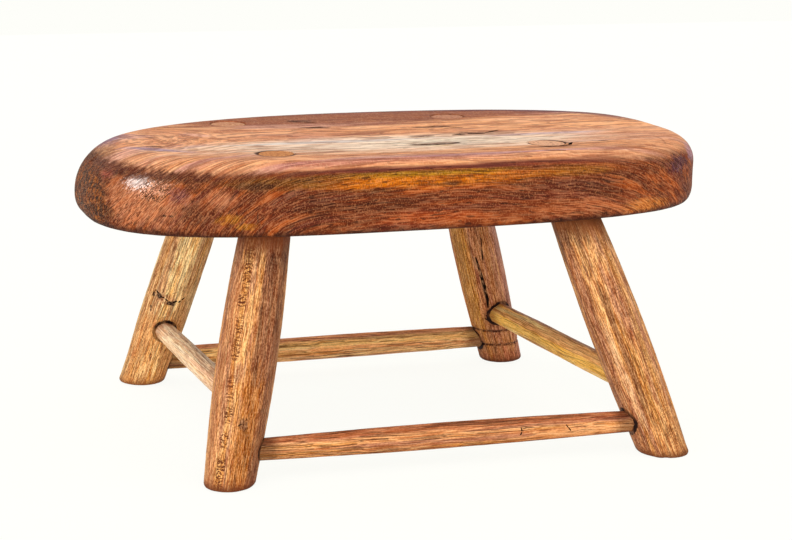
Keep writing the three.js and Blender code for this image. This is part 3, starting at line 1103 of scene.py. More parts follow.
class BarTree:
    """The Geometry Nodes tree that whittles a round bar along a line."""

    FILL_ROWS = 6
    NUMBERS = {
        "Level": 0.0, "Body From": 0.0, "Body To": 1.0, "Start Radius": 0.01, "Finish Radius": 0.01,
        "Swell": 0.0, "Start Taper": 0.001, "Finish Taper": 0.001, "Start Tenon": 0.01,
        "Finish Tenon": 0.01, "Start Chamfer": 0.001, "Finish Chamfer": 0.001, "Flats": 8.0,
        "Flat Depth": 0.0005, "Flat Turn": 0.0, "Unevenness": 0.0003, "Chatter": 0.0001,
        "Seed": 0.0, "Lower Ring": -1.0, "Upper Ring": -1.0, "Ring Depth": 0.0, "Ring Width": 0.003,
        "Knot Along": -1.0, "Knot Angle": 0.0, "Knot Size": 0.006, "Knot Height": 0.0,
        "Groove Angle": 0.0, "Groove Width": 0.004, "Groove Depth": 0.0,
    }

    def __init__(self) -> None:
        """Builds the tree."""
        takes = {
            "Start": (VECTOR, (0, 0, 0)), "Finish": (VECTOR, (0, 0, 1)), "Sides": (WHOLE, 96),
            "Rows": (WHOLE, 200),
            **{title: (NUMBER, value) for title, value in self.NUMBERS.items()},
            "Side Material": (MATERIAL, None), "End Material": (MATERIAL, None),
        }
        g = Graph.group("whittled_bar", "GeometryNodeTree", takes, {"Geometry": GEOMETRY})
        self.tree = g.tree
        take = g.given
        line = g.vector("SUBTRACT", take["Finish"], take["Start"])
        axis = g.vector("NORMALIZE", line)
        turn = g.out("FunctionNodeAlignRotationToVector", {"Vector": line}, axis="Z")
        rod = {
            "Vertices": take["Sides"], "Side Segments": take["Rows"],
            "Fill Segments": self.FILL_ROWS, "Radius": 1.0, "Depth": 1.0,
        }
        cylinder = g.node("GeometryNodeMeshCylinder", rod, fill_type="TRIANGLE_FAN")
        x, y, z = g.split(g.out("GeometryNodeInputPosition"))
        reach = g.math("MINIMUM", g.number("LENGTH", g.join(x, y, 0.0)), 1.0)
        angle = g.math("ARCTAN2", y, x)
        flat_spoke = g.join(g.math("COSINE", angle), g.math("SINE", angle), 0.0)
        spoke = g.out("FunctionNodeRotateVector", {"Vector": flat_spoke, "Rotation": turn})
        level = take["Level"]
        rise = g.mix(level, 1.0, g.split(axis)[2])
        lift = g.split(spoke)[2] * level
        length = g.number("LENGTH", line)
        tall = g.mix(level, length, g.split(line)[2])
        height = g.clamp(z + 0.5) * tall
        first = self._radius(g, height / rise, height, tall, angle, flat_spoke)
        radius = self._radius(g, (height - first * lift) / rise, height, tall, angle, flat_spoke)
        along = (height - reach * radius * lift) / rise
        place = g.vector("ADD", take["Start"], g.scaled(axis, along))
        place = g.vector("ADD", place, g.scaled(spoke, reach * radius))
        rounded = {"Geometry": Field(g, cylinder.outputs["Mesh"]), "Position": place}
        mesh = g.out("GeometryNodeSetPosition", rounded)
        mesh = g.out("GeometryNodeRealizeInstances", {0: mesh})
        mesh = g.out("GeometryNodeSetMaterial", {"Geometry": mesh, "Material": take["Side Material"]})
        for end in ("Top", "Bottom"):
            faces = Field(g, cylinder.outputs[end])
            ends = {"Geometry": mesh, "Selection": faces, "Material": take["End Material"]}
            mesh = g.out("GeometryNodeSetMaterial", ends)
        g.give(Geometry=mesh)

    @staticmethod
    def _radius(
        g: Graph, along: Field, height: Field, tall: Field, angle: Field, spoke: Field
    ) -> Field:
        """The bar's radius at one place.

        Args:
            g: The tree's graph.
            along: The distance from the start, along the line.
            height: The distance from the start end's face, square to that face.
            tall: What height comes to at the other end's face.
            angle: The angle round the line.
            spoke: The direction out of the line, in the bar's own frame.

        Returns:
            The radius.
        """
        take = g.given
        share = g.clamp((along - take["Body From"]) / (take["Body To"] - take["Body From"]))
        body = g.mix(share, take["Start Radius"], take["Finish Radius"])
        body = body + take["Swell"] * g.math("SINE", share * math.pi)
        before = g.clamp((take["Body From"] - along) / take["Start Taper"])
        after = g.clamp((along - take["Body To"]) / take["Finish Taper"])
        radius = g.mix(before, body, take["Start Tenon"])
        radius = g.mix(after, radius, take["Finish Tenon"])

        # Flats that wander a little, and fade towards the tenons
        worked = (1.0 - before) * (1.0 - after)
        slow = g.noise(g.join(along * 14.0, take["Seed"], 0.0), 1.0) - 0.5
        pitch = g.math("DIVIDE", 2 * math.pi, take["Flats"])
        turns = (angle - take["Flat Turn"] + slow * 0.5) / pitch
        off = (g.math("FRACT", turns) - 0.5) * pitch
        lowest = g.math("COSINE", pitch * 0.5)
        bulge = (1.0 - lowest / g.math("COSINE", off)) / (1.0 - lowest)
        uneven_flats = g.noise(g.join(along * 22.0, g.math("FLOOR", turns), take["Seed"]), 1.0)
        flatness = worked * g.clamp(height / 0.022) * (uneven_flats + 0.5)
        radius = radius - take["Flat Depth"] * bulge * flatness

        # Waves left by hand work, and the shorter chatter of the knife
        wave_place = g.vector("ADD", g.scaled(spoke, 1.3), g.join(0.0, take["Seed"], along * 24.0))
        waves = g.noise(wave_place, 2.0) - 0.65
        chatter_place = g.vector("ADD", g.scaled(spoke, 4.5), g.join(take["Seed"], 0.0, along * 150.0))
        chatter = g.noise(chatter_place, 2.0) - 0.6
        radius = radius + (waves * take["Unevenness"] * 2.0 + chatter * take["Chatter"] * 2.0) * worked

        # Scored rings, one knot and the softened ends
        for ring in ("Lower Ring", "Upper Ring"):
            off_ring = g.absolute(height - take[ring]) / (take["Ring Width"] * 0.5)
            radius = radius - take["Ring Depth"] * g.ramp(off_ring, 1.0, 0.0)
        round_off = g.math("WRAP", angle - take["Knot Angle"], math.pi, -math.pi) * radius
        off_knot = g.number("LENGTH", g.join(round_off, along - take["Knot Along"], 0.0))
        off_knot = off_knot / take["Knot Size"]
        stub = g.ramp(off_knot, 1.0, 0.3) - g.ramp(off_knot, 0.45, 0.1) * 1.3
        radius = radius + take["Knot Height"] * stub
        off_groove = g.math("WRAP", angle - take["Groove Angle"], math.pi, -math.pi) * radius
        off_groove = off_groove / take["Groove Width"]
        ridge = g.ramp(g.absolute(off_groove + 1.6), 1.2, 0.0) * 0.6
        valley = g.ramp(g.absolute(off_groove), 1.0, 0.0)
        radius = radius + take["Groove Depth"] * (ridge - valley) * worked
        for gap, name in ((height, "Start Chamfer"), (tall - height, "Finish Chamfer")):
            short = 1.0 - g.clamp(gap / take[name])
            radius = radius - take[name] * (1.0 - g.math("SQRT", 1.0 - short * short))
        return radius

    def whittle(self, name: str, sizes: dict[str, object]) -> Object:
        """Makes one bar.

        Args:
            name: The bar's name.
            sizes: Values by the name of the tree's input.

        Returns:
            The bar as a plain mesh.
        """
        bar = show(name, bpy.data.meshes.new(name))
        shape(bar, self.tree, sizes)
        return bar


@dataclass(frozen=True)
class Crack:
    """A drying check on a bar, through a few places on its skin.

    Attributes:
        places: Millimetres along the bar and degrees round it, for each place.
        width: How wide it gapes.
        depth: How deep it goes.
        wander: How far it strays sideways.
        facing: The side of the stool that the degrees are counted from, or none to count them
            from the bar's own X.
    """

    places: tuple[tuple[float, float], ...]
    width: float = 1.0
    depth: float = 2.0
    wander: float = 0.5
    facing: Facing | None = None

    def blades(self, line: Line, radius: float) -> list[Blade]:
        """The cutters for this check on a bar of this rough radius, one for each stretch."""
        zero = line.angle_to(self.facing) if self.facing else 0.0
        made = []
        for (near, near_angle), (far, far_angle) in zip(self.places, self.places[1:]):
            first = line.point(near, zero + near_angle, radius)
            last = line.point(far, zero + far_angle, radius)
            out = line.spoke(zero + (near_angle + far_angle) / 2)
            made.append(Blade.between(first, last, out, self))
        return made


@dataclass(frozen=True)
class Knot:
    """The healed stub of a branch that stands a little proud of a bar.

    Attributes:
        along: Millimetres from the bar's start.
        angle: Degrees round the bar.
        size: How far it reaches, in millimetres.
        height: How far it stands out.
    """

    along: float
    angle: float
    size: float = 6.0
    height: float = 0.5


@dataclass(frozen=True)
class Groove:
    """A long shallow valley in a bar, with a low ridge beside it.

    Attributes:
        angle: Degrees round the bar.
        width: Half its width in millimetres.
        depth: Its depth in millimetres.
    """

    angle: float
    width: float = 3.5
    depth: float = 0.9


@dataclass
class Leg:
    """One whittled leg, whose upper end is a tapered tenon through the seat.

    Attributes:
        node: Its CAD node.
        flat_turn: Degrees round it where its first flat lies.
        finish: Its finish.
        seed: Where in the whittled pattern it is cut from.
        scored: Whether it has the two scored rings.
        cracks: Its drying checks.
        knot: Its knot, if it has one.
        groove: Its valley, if it has one.
        line: Its line, from the foot's middle to the tenon's end.
    """

    node: str
    flat_turn: float
    finish: BarFinish
    seed: float
    scored: bool = False
    cracks: tuple[Crack, ...] = ()
    knot: Knot | None = None
    groove: Groove | None = None
    foot_diameter: float = 34.0
    belly_diameter: float = 38.0
    neck_diameter: float = 34.0
    tenon_end_diameter: float = 24.0
    foot_chamfer: float = 2.5
    top_chamfer: float = 0.5
    flat_depth: float = 0.8
    unevenness: float = 0.3
    chatter: float = 0.12
    ring_heights: tuple[float, float] = (17.0, 30.0)
    ring_depth: float = 1.2
    ring_width: float = 3.0
    seat_underside: float = 164.0
    sides: int = 168
    rows: int = 330
    line: Line = field(init=False)

    def __post_init__(self) -> None:
        """Reads the leg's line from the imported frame: its foot's mount and its tenon's end."""
        mounts = {mount["name"]: mount["pos_m"] for mount in frame["record"]["mounts"]}
        foot = Vector(mounts[self.node.replace("_leg", "_foot")])
        places = np.array([vertex.co for vertex in frame["nodes"][self.node].data.vertices])
        top = places[places[:, 2] > places[:, 2].max() - END_SLACK * MM]
        end = Vector((top.min(0) + top.max(0)) / 2)
        self.line = Line(foot, end)

    @property
    def rise(self) -> float:
        """How much the leg rises for each step along its line."""
        return self.line.axis.z

    def taper_radius(self, along: float) -> float:
        """The radius of the tenon's cone at a distance along the leg, in millimetres."""
        underside = self.seat_underside / self.rise
        length = self.line.length / MM
        share = (along - underside) / (length - underside)
        return (self.neck_diameter + (self.tenon_end_diameter - self.neck_diameter) * share) / 2

    def sizes(self, skin: Material, ends: Material, grow: float = 0.0) -> dict[str, object]:
        """The leg's sizes, by the name of the tree's input.

        Args:
            skin: The material of its long side.
            ends: The material of its ends.
            grow: Millimetres added to every radius.

        Returns:
            The sizes.
        """
        underside = self.seat_underside / self.rise
        middle = (self.foot_diameter + self.neck_diameter) / 2
        lengths = {
            "Body To": underside, "Start Radius": self.foot_diameter / 2 + grow,
            "Start Tenon": self.foot_diameter / 2 + grow,
            "Finish Radius": self.neck_diameter / 2 + grow,
            "Swell": (self.belly_diameter - middle) / 2,
            "Finish Taper": self.line.length / MM - underside,
            "Finish Tenon": self.tenon_end_diameter / 2 + grow, "Start Chamfer": self.foot_chamfer,
            "Finish Chamfer": self.top_chamfer, "Flat Depth": self.flat_depth,
            "Unevenness": self.unevenness, "Chatter": self.chatter,
        }
        angles = {"Flat Turn": self.flat_turn}
        if self.groove:
            angles["Groove Angle"] = self.groove.angle
            lengths["Groove Width"] = self.groove.width
            lengths["Groove Depth"] = self.groove.depth
        if self.scored:
            lengths["Lower Ring"], lengths["Upper Ring"] = self.ring_heights
            lengths["Ring Depth"] = self.ring_depth
            lengths["Ring Width"] = self.ring_width
        if self.knot:
            angles["Knot Angle"] = self.knot.angle
            lengths["Knot Along"] = self.knot.along
            lengths["Knot Size"] = self.knot.size
            lengths["Knot Height"] = self.knot.height
        return {
            "Start": self.line.start, "Finish": self.line.finish, "Sides": self.sides,
            "Rows": self.rows, "Level": 1.0, "Start Taper": 1.0, "Seed": self.seed,
            **{title: length * MM for title, length in lengths.items()},
            **{title: math.radians(angle) for title, angle in angles.items()},
            "Side Material": skin, "End Material": ends,
        }

    @property
    def radius(self) -> float:
        """The leg's rough radius in millimetres."""
        return self.belly_diameter / 2

    def build(self, tree: BarTree, effects: Effects, mouths: tuple[Mouth, ...]) -> Object:
        """Whittles the leg."""
        skin = self.finish.skin(f"{self.node}_skin", self.line, self.radius, effects, mouths)
        ends = self.finish.end_grain(f"{self.node}_end_grain", self.line, effects)
        return tree.whittle(self.node + "_whittled", self.sizes(skin, ends))


@dataclass
class Stretcher:
    """One whittled dowel, thicker in the middle, with a round tenon at each end.

    Attributes:
        node: Its CAD node.
        middle: Its diameter in the middle, in millimetres.
        end: Its diameter beside the legs.
        finish: Its finish.
        seed: Where in the whittled pattern it is cut from.
        cracks: Its drying checks.
        over_length: How much further its body goes on at each end, for the shoulder to be cut.
        shoulder: The length over which it steps down to its tenon.
        line: Its line, from one tenon's end to the other's.
    """

    node: str
    middle: float
    end: float
    finish: BarFinish
    seed: float
    cracks: tuple[Crack, ...] = ()
    tenon_diameter: float = 12.5
    tenon_depth: float = 22.0
    over_length: float = 7.0
    shoulder: float = 0.5
    flat_depth: float = 0.5
    unevenness: float = 0.22
    chatter: float = 0.1
    sides: int = 96
    rows: int = 460
    line: Line = field(init=False)

    def __post_init__(self) -> None:
        """Reads the dowel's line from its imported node."""
        places = np.unique(np.round([v.co for v in frame["nodes"][self.node].data.vertices], 7), axis=0)
        middle = places.mean(0)
        axis = np.linalg.svd(places - middle, full_matrices=False)[2][0]
        widest = np.abs(axis).argmax()
        axis = axis * np.sign(axis[widest])
        run = (places - middle) @ axis
        limits = (run.min(), run.max())
        ends = [places[np.abs(run - limit) < END_SLACK * MM].mean(0) for limit in limits]
        self.line = Line(Vector(ends[0]), Vector(ends[1]))

    def mouth(self, far: bool) -> Mouth:
        """Where one end of the dowel enters its leg."""
        line = self.line.reversed if far else self.line
        return Mouth(line.start / MM, line.axis, self.end / 2)

    @property
    def radius(self) -> float:
        """The dowel's rough radius in millimetres."""
        return self.middle / 2

    def build(self, tree: BarTree, effects: Effects, mouths: tuple[Mouth, ...]) -> Object:
        """Whittles the dowel, over long, for its shoulders to be scribed to the legs."""
        body_from = self.tenon_depth - self.over_length
        lengths = {
            "Body From": body_from, "Body To": self.line.length / MM - body_from,
            "Swell": (self.middle - self.end) / 2, "Flat Depth": self.flat_depth,
            "Unevenness": self.unevenness, "Chatter": self.chatter,
        }
        for end in ("Start", "Finish"):
            lengths[f"{end} Radius"] = self.end / 2
            lengths[f"{end} Taper"] = self.shoulder
            lengths[f"{end} Tenon"] = self.tenon_diameter / 2
        skin = self.finish.skin(f"{self.node}_skin", self.line, self.radius, effects, mouths)
        sizes = {
            "Start": self.line.start, "Finish": self.line.finish, "Sides": self.sides,
            "Rows": self.rows, "Seed": self.seed,
            **{title: length * MM for title, length in lengths.items()}, "Side Material": skin,
            "End Material": self.finish.end_grain(f"{self.node}_end_grain", self.line, effects),
        }
        return tree.whittle(self.node + "_whittled", sizes)


@dataclass
class Undercarriage:
    """The four legs and the four stretchers that tie them together near the floor.

    Attributes:
        legs: The legs.
        stretchers: The stretchers.
        air: The space behind each tenon's end, in millimetres.
        clearance: The space round each tenon.
        passage: How much wider than the tenon the scribed shoulder's opening is.
        mouth_flare: How far the worn mouth of a mortise opens.
        mouth_depth: How deep the wear goes.
        mouth_turn: How far up the wear and how far open it bends, as shares of both.
    """

    legs: tuple[Leg, ...]
    stretchers: tuple[Stretcher, ...]
    air: float = 1.0
    clearance: float = 0.3
    passage: float = 0.05
    mouth_flare: float = 0.2
    mouth_depth: float = 3.0
    mouth_turn: tuple[float, float] = (0.45, 0.4)

    def scribe(self, tree: BarTree, leg: Leg, stretcher: Stretcher, material: Material) -> Object:
        """Makes what is cut off a stretcher's shoulder: the leg, one clearance larger.

        The tenon's own passage through the leg is left out of it.

        Args:
            tree: The tree that whittles bars.
            leg: The leg.
            stretcher: The stretcher.
            material: The material of the cut shoulder.

        Returns:
            The cutter.
        """
        blank = tree.whittle("blank", leg.sizes(material, material, self.clearance))
        hole = stretcher.tenon_diameter / 2 + self.passage
        low, high = -self.air, stretcher.line.length / MM + self.air
        profile = [(0.0, low), (hole, low), (hole, high), (0.0, high)]
        carve(blank, [turned("passage", profile, stretcher.line, material)])
        return blank

    def mortise(self, leg: Leg, stretcher: Stretcher, far: bool, crevice: Material) -> Object:
        """Makes the cutter of one blind mortise, whose mouth opens outwards.

        Args:
            leg: The leg.
            stretcher: The stretcher.
            far: Whether the far end of the stretcher goes into it.
            crevice: The material of its inside.

        Returns:
            The cutter.
        """
        line = stretcher.line.reversed if far else stretcher.line
        bend, opened = self.mouth_turn
        hole = stretcher.tenon_diameter / 2 + self.clearance
        reach = leg.neck_diameter / 2
        wide = hole + self.mouth_flare * (1 + reach / self.mouth_depth)
        face = stretcher.tenon_depth
        profile = [
            (0.0, -self.air), (hole, -self.air), (hole, face - self.mouth_depth),
            (hole + opened * self.mouth_flare, face - bend * self.mouth_depth),
            (wide, face + reach), (0.0, face + reach),
        ]
        return turned("mortise", profile, line, crevice)

    def build(self, tree: BarTree, checks: CheckTree, effects: Effects, crevice: Material) -> None:
        """Makes all eight bars, cuts their mortises and checks, and dresses them.

        Args:
            tree: The tree that whittles bars.
            checks: The tree that grows the cutters of drying checks.
            effects: The shared groups.
            crevice: The material of the mortises' and checks' inside.
        """
        cutters: dict[str, list[Object]] = {leg.node: [] for leg in self.legs}
        mouths: dict[str, tuple[Mouth, ...]] = {}
        meets: dict[str, tuple[Leg, ...]] = {}
        for stretcher in self.stretchers:
            for far, end in ((False, stretcher.line.start), (True, stretcher.line.finish)):
                near = min(self.legs, key=lambda leg: leg.line.gap(end))
                cutters[near.node].append(self.mortise(near, stretcher, far, crevice))
                meets[stretcher.node] = (*meets.get(stretcher.node, ()), near)
                mouths[near.node] = (*mouths.get(near.node, ()), stretcher.mouth(far))
        for bar in (*self.legs, *self.stretchers):
            piece = bar.build(tree, effects, mouths.get(bar.node, ()))
            tools = cutters.get(bar.node, [])
            for leg in meets.get(bar.node, ()):
                tools.append(self.scribe(tree, leg, bar, piece.data.materials[-1]))
            if bar.cracks:
                blades = [crack.blades(bar.line, bar.radius) for crack in bar.cracks]
                tools.append(checks.grow("checks", sum(blades, [])))
            carve(piece, tools)
            dress(piece, bar.node)


@dataclass(frozen=True)
class Pit:
    """A shallow hollow worn or bruised into the seat's skin."""

    centre: Triple
    size: float
    depth: float


@dataclass(frozen=True)
class Check:
    """A drying check in the seat, through a few places in its skin."""

    places: tuple[Triple, ...]
    width: float
    depth: float
    wander: float


class Zone(Enum):
    """The parts of the plank's skin, from the middle of the underside to the middle of the top."""

    UNDER = auto()
    UNDER_EDGE = auto()
    SIDE = auto()
    TOP_EDGE = auto()
    TOP = auto()


@dataclass
class Seat:
    """The thick oval plank: a flat top with a deep rounded edge, more worn at its left end.

    Attributes:
        top_round_down: How far the rounded top edge reaches down, in millimetres.
        top_round_in: How far it reaches in.
        worn_end_round: How much further both reach at the left end.
        under_round_up: How far the rounded lower edge reaches up.
        under_round_in: How far it reaches in.
        dish: How deep the sitter has worn the top.
        waves: How deep the slow waves of the skin are.
        ridges: How deep its fine ridges along the grain are.
        crease: How deep the crease at the left end of the front is.
        cutter_air: How far the cutters of the mortises stand out of the plank.
        mortise_wear: Steps of the worn upper mouth: added radius and height over the top.
        pith_y: Where the growth rings' middle lies across the seat.
        pith_z: Its height.
        hook: How far the rings bend at the left end.
        joints: For each leg, where the painted shadow in the gap round its tenon lies, in
            degrees, how many degrees it reaches to each side, and how strong it is.
    """

    node: str = "seat"
    top_round_down: float = 19.0
    top_round_in: float = 19.0
    worn_end_round: float = 17.0
    under_round_up: float = 11.0
    under_round_in: float = 5.0
    front_left_fullness: float = 3.2
    front_right_fullness: float = 3.1
    rear_left_fullness: float = 2.3
    rear_right_fullness: float = 2.8
    rim_fullness: float = 2.45
    sides: int = 520
    flat_rows: int = 44
    under_rows: int = 24
    edge_rows: int = 10
    round_rows: int = 20
    clearance: float = 0.35
    cutter_air: float = 12.0
    wear_depth: float = 1.5
    mortise_wear: tuple[tuple[float, float], ...] = ((0.0, -1.8), (0.5, -0.6), (1.2, 0.5))
    dish: float = 0.8
    waves: float = 0.55
    ridges: float = 0.16
    crease: float = 0.9
    pith_y: float = 6.0
    pith_z: float = 262.0
    hook: float = 34.0
    pits: tuple[Pit, ...] = ()
    checks: tuple[Check, ...] = ()
    patches: tuple[Patch, ...] = ()
    joints: dict[str, Triple] = field(
        default_factory=lambda: {
            "front_left_leg": (205.0, 170.0, 0.85), "front_right_leg": (35.0, 75.0, 0.85),
            "rear_left_leg": (200.0, 90.0, 0.25), "rear_right_leg": (20.0, 90.0, 0.25),
        }
    )

    def __post_init__(self) -> None:
        """Reads the plank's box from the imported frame, in millimetres."""
        low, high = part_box(self.node)
        self.half_length = high.x / MM
        self.half_width = high.y / MM
        self.underside = low.z / MM
        self.top = high.z / MM

    def outline(self, angle: float) -> tuple[float, float]:
        """The rim as shares of half the length and half the width."""
        c, s = math.cos(angle), math.sin(angle)
        to_right = (1 + max(-1.0, min(1.0, 4 * c))) / 2
        to_rear = (1 + max(-1.0, min(1.0, 4 * s))) / 2
        front, front_right = self.front_left_fullness, self.front_right_fullness
        rear, rear_right = self.rear_left_fullness, self.rear_right_fullness
        front += (front_right - front) * to_right
        rear += (rear_right - rear) * to_right
        full = front + (rear - front) * to_rear
        reach = (abs(c) ** full + abs(s) ** full) ** (-1 / full)
        return reach * c, reach * s

    def rows(self) -> list[tuple[Zone, float]]:
        """The rings of the skin, as their zone and how far through it they lie."""
        edge, rim = self.edge_rows, self.round_rows
        rows = [(Zone.UNDER, (i + 1) / self.under_rows) for i in range(self.under_rows - 1)]
        rows += [(Zone.UNDER_EDGE, i / edge) for i in range(edge + 1)]
        rows += [(Zone.SIDE, i / edge) for i in range(1, edge)]
        rows += [(Zone.TOP_EDGE, i / rim) for i in range(rim + 1)]
        rows += [(Zone.TOP, 1 - (i + 1) / self.flat_rows) for i in range(self.flat_rows - 1)]
        return rows

    def ring_point(self, zone: Zone, share: float, angle: float) -> Vector:
        """A point of the smooth plank.

        Args:
            zone: The zone of the skin.
            share: How far through the zone the point lies.
            angle: The outline's parameter, in radians.

        Returns:
            The point in millimetres.
        """
        x, y = self.outline(angle)
        worn = self.worn_end_round * max(-x, 0) ** 2
        round_in, round_down = self.top_round_in + worn, self.top_round_down + worn
        scale = 1.0
        if zone in (Zone.UNDER, Zone.UNDER_EDGE):
            turn = share * math.pi / 2 if zone is Zone.UNDER_EDGE else 0.0
            inset = self.under_round_in * (1 - math.sin(turn))
            z = self.underside + self.under_round_up * (1 - math.cos(turn))
            scale = share if zone is Zone.UNDER else 1.0
        elif zone is Zone.SIDE:
            low, high = self.underside + self.under_round_up, self.top - round_down
            inset, z = 0.0, low + (high - low) * share
        else:
            turn = share * math.pi / 2 if zone is Zone.TOP_EDGE else math.pi / 2
            inset = round_in * (1 - math.cos(turn))
            z = self.top - round_down * (1 - math.sin(turn))
            scale = share if zone is Zone.TOP else 1.0
        half_length, half_width = self.half_length - inset, self.half_width - inset
        return Vector((half_length * x * scale, half_width * y * scale, z))

    def sunk(self, point: Vector) -> float:
        """How far the worn skin lies inside the smooth plank at a point, in millimetres."""
        x, y, z = point
        top = held((z - self.top + 12) / 12)
        slow = noise.noise(Vector((x / 95, y / 38, z / 30)))
        quick = noise.noise(Vector((x / 60, y / 4.2, z / 4.2 + 7)))
        sunk = self.waves * (0.5 + 0.5 * slow) + self.ridges * (0.5 + 0.5 * quick)
        sunk += top * self.dish * max(0.0, 1 - (x / 190) ** 2 - ((y + 25) / 90) ** 2)
        if y < 0 and z > self.top - 20:
            left = held((-x - 150) / 30)
            low = 204.4 - 3.0 * held((-x - 180) / 25)
            sunk += self.crease * left * math.exp(-(((z - low) / (1.6 + left)) ** 2))
        for pit in self.pits:
            off = (point - Vector(pit.centre)).length / pit.size
            if off < 1:
                sunk += pit.depth * (1 - off * off) ** 2
        return sunk

    def plank(self) -> Object:
        """Lofts the worn plank."""
        made = bmesh.new()
        rings = []
        centre = Vector((0, 0, (self.top + self.underside) / 2))
        for zone, share in self.rows():
            ring = []
            for step in range(self.sides):
                point = self.ring_point(zone, share, 2 * math.pi * step / self.sides)
                outward = Vector((point.x * 0.12, point.y * 0.25, point.z - centre.z))
                if zone is Zone.UNDER:
                    outward = -UP
                elif zone is Zone.TOP:
                    outward = UP
                point = point - outward.normalized() * self.sunk(point)
                ring.append(made.verts.new(point * MM))
            rings.append(ring)
        for low, high in zip(rings, rings[1:]):
            for step in range(self.sides):
                after = (step + 1) % self.sides
                made.faces.new((low[step], low[after], high[after], high[step]))
        for ring, below in ((rings[0], True), (rings[-1], False)):
            hub = made.verts.new(sum((vertex.co for vertex in ring), Vector()) / self.sides)
            for step in range(self.sides):
                after = (step + 1) % self.sides
                pair = (ring[after], ring[step]) if below else (ring[step], ring[after])
                made.faces.new((*pair, hub))
        mesh = bpy.data.meshes.new(self.node)
        made.to_mesh(mesh)
        made.free()
        return show(self.node + "_plank", mesh)

    def material(self, effects: Effects, legs: tuple[Leg, ...]) -> Material:
        """Makes the finish of the old plank, whose growth layers lie round a pith above the top.

        Args:
            effects: The shared groups.
            legs: The legs, whose tenons are ringed with painted shadow.

        Returns:
            The material.
        """
        layers = Layers("seat_skin", effects)
        g = layers.graph
        x, y, z = g.split(layers.vector)
        drift = layers.cloud((0.006, 0.012, 0.014), colour=True)
        _, dy, dz = g.split(g.vector("SUBTRACT", drift, HALF))
        off_y, off_z = y - self.pith_y + dy * 14.0, self.pith_z - z + dz * 10.0
        ring = g.number("LENGTH", g.join(off_y, off_z, 0.0)) - g.ramp(x, -95.0, -215.0) * self.hook
        around = g.math("ARCTAN2", off_y, off_z) * 14.0
        growth = g.join(ring, around, x)
        shared = {"Vector": growth, "Place": layers.vector}
        face = layers.group(
            effects.grain, Streak_Width=1.3, Streak_Length=64.0, Waviness=3.0, Shift=9.0, **shared,
        )
        flat = layers.group(
            effects.grain, Streak_Width=4.4, Streak_Length=84.0, Waviness=4.0,
            Speckle_Size=(1.2, 3.6, 3.0), Shift=31.0, **shared,
        )
        broad = g.noise(g.vector("DIVIDE", growth, (6.0, 4.0, 110.0)), 2.0, 0.55)
        ragged = g.noise(g.scaled(layers.vector, 0.22), 3.0, 0.65) - 0.5

        # How far a place lies above the line where top and side meet, which fades towards the right end
        arris = g.ramp(x, -150.0, -60.0) * g.ramp(x, 160.0, 90.0) * 2.2 + 204.6
        above = z - arris + (broad - 0.5) * 4.0 + dz * 3.0
        above = above / (g.ramp(x, 70.0, 180.0) * 2.8 + 1.0)
        torn = g.ramp(x, -70.0, -170.0)
        above = above + face["Streaks"] * torn * 1.4 - torn * 0.7 + ragged * torn * 8.0
        above = above / (torn * 0.8 + 1.0)
        upper = g.ramp(above, -1.4, 2.0)
        side = 1.0 - upper
        front = g.ramp(y, 20.0, -20.0)

        # The front, the ends and the underside are dark and red, and the top paler: partly worn, partly
        # painted light on the top and painted shade on the sides
        layers.lay((140, 66, 27), 1.0)
        layers.lay((94, 42, 19), g.ramp(broad, 0.36, 0.62), 0.8)
        layers.lay((88, 36, 18), face["Streaks"], 0.55)
        layers.lay((184, 90, 30), g.ramp(face["Bands"], 0.54, 0.64), 0.5)
        layers.lay((96, 44, 40), g.ramp(face["Bands"], 0.46, 0.36), 0.4)
        layers.lay((250, 182, 132), upper, 1.0)
        layers.lay((190, 104, 62), upper * flat["Streaks"], 0.6)
        layers.lay((206, 156, 158), upper * g.ramp(flat["Bands"], 0.54, 0.62), 0.4)
        layers.lay((250, 172, 108), upper * g.ramp(flat["Bands"], 0.46, 0.38), 0.4)
        for patch in self.patches:
            layers.patch(patch)
        self.worn_rim_and_shoulder_shadow(layers, x, z, ragged, side)

        # Fibres, drawn lines and fine strokes
        layers.lay(FIBRE, g.ramp(flat["Fibres"], 0.4, 0.95) * upper, 0.55, Way.STAIN)
        layers.lay(GLEAM, upper * g.ramp(flat["Speckle"], 0.45, 0.0), 0.6, Way.BLEACH)
        layers.lay((122, 62, 38), upper * flat["Lines"], 0.5)
        layers.lay((104, 54, 34), upper * flat["Pores"], 0.4)
        layers.lay(FIBRE, g.ramp(face["Fibres"], 0.4, 0.95) * side, 0.7, Way.STAIN)
        layers.lay(GLEAM, side * g.ramp(face["Fibres"], 0.42, 0.0), 0.3, Way.BLEACH)
        layers.lay((46, 20, 10), side * face["Lines"], 0.5)
        layers.lay((224, 146, 92), side * g.ramp(face["Speckle"], 0.3, 0.0), 0.2)
        stipple = g.noise(g.vector("DIVIDE", layers.vector, (0.8, 0.8, 3.2)), 1.0, 0.5)
        band = g.ramp(z, 191.0, 196.0) * g.ramp(above, 1.0, -1.0) * g.ramp(y, -60.0, -100.0)
        layers.lay((76, 40, 10), band * g.ramp(stipple, 0.52, 0.66), 0.55)
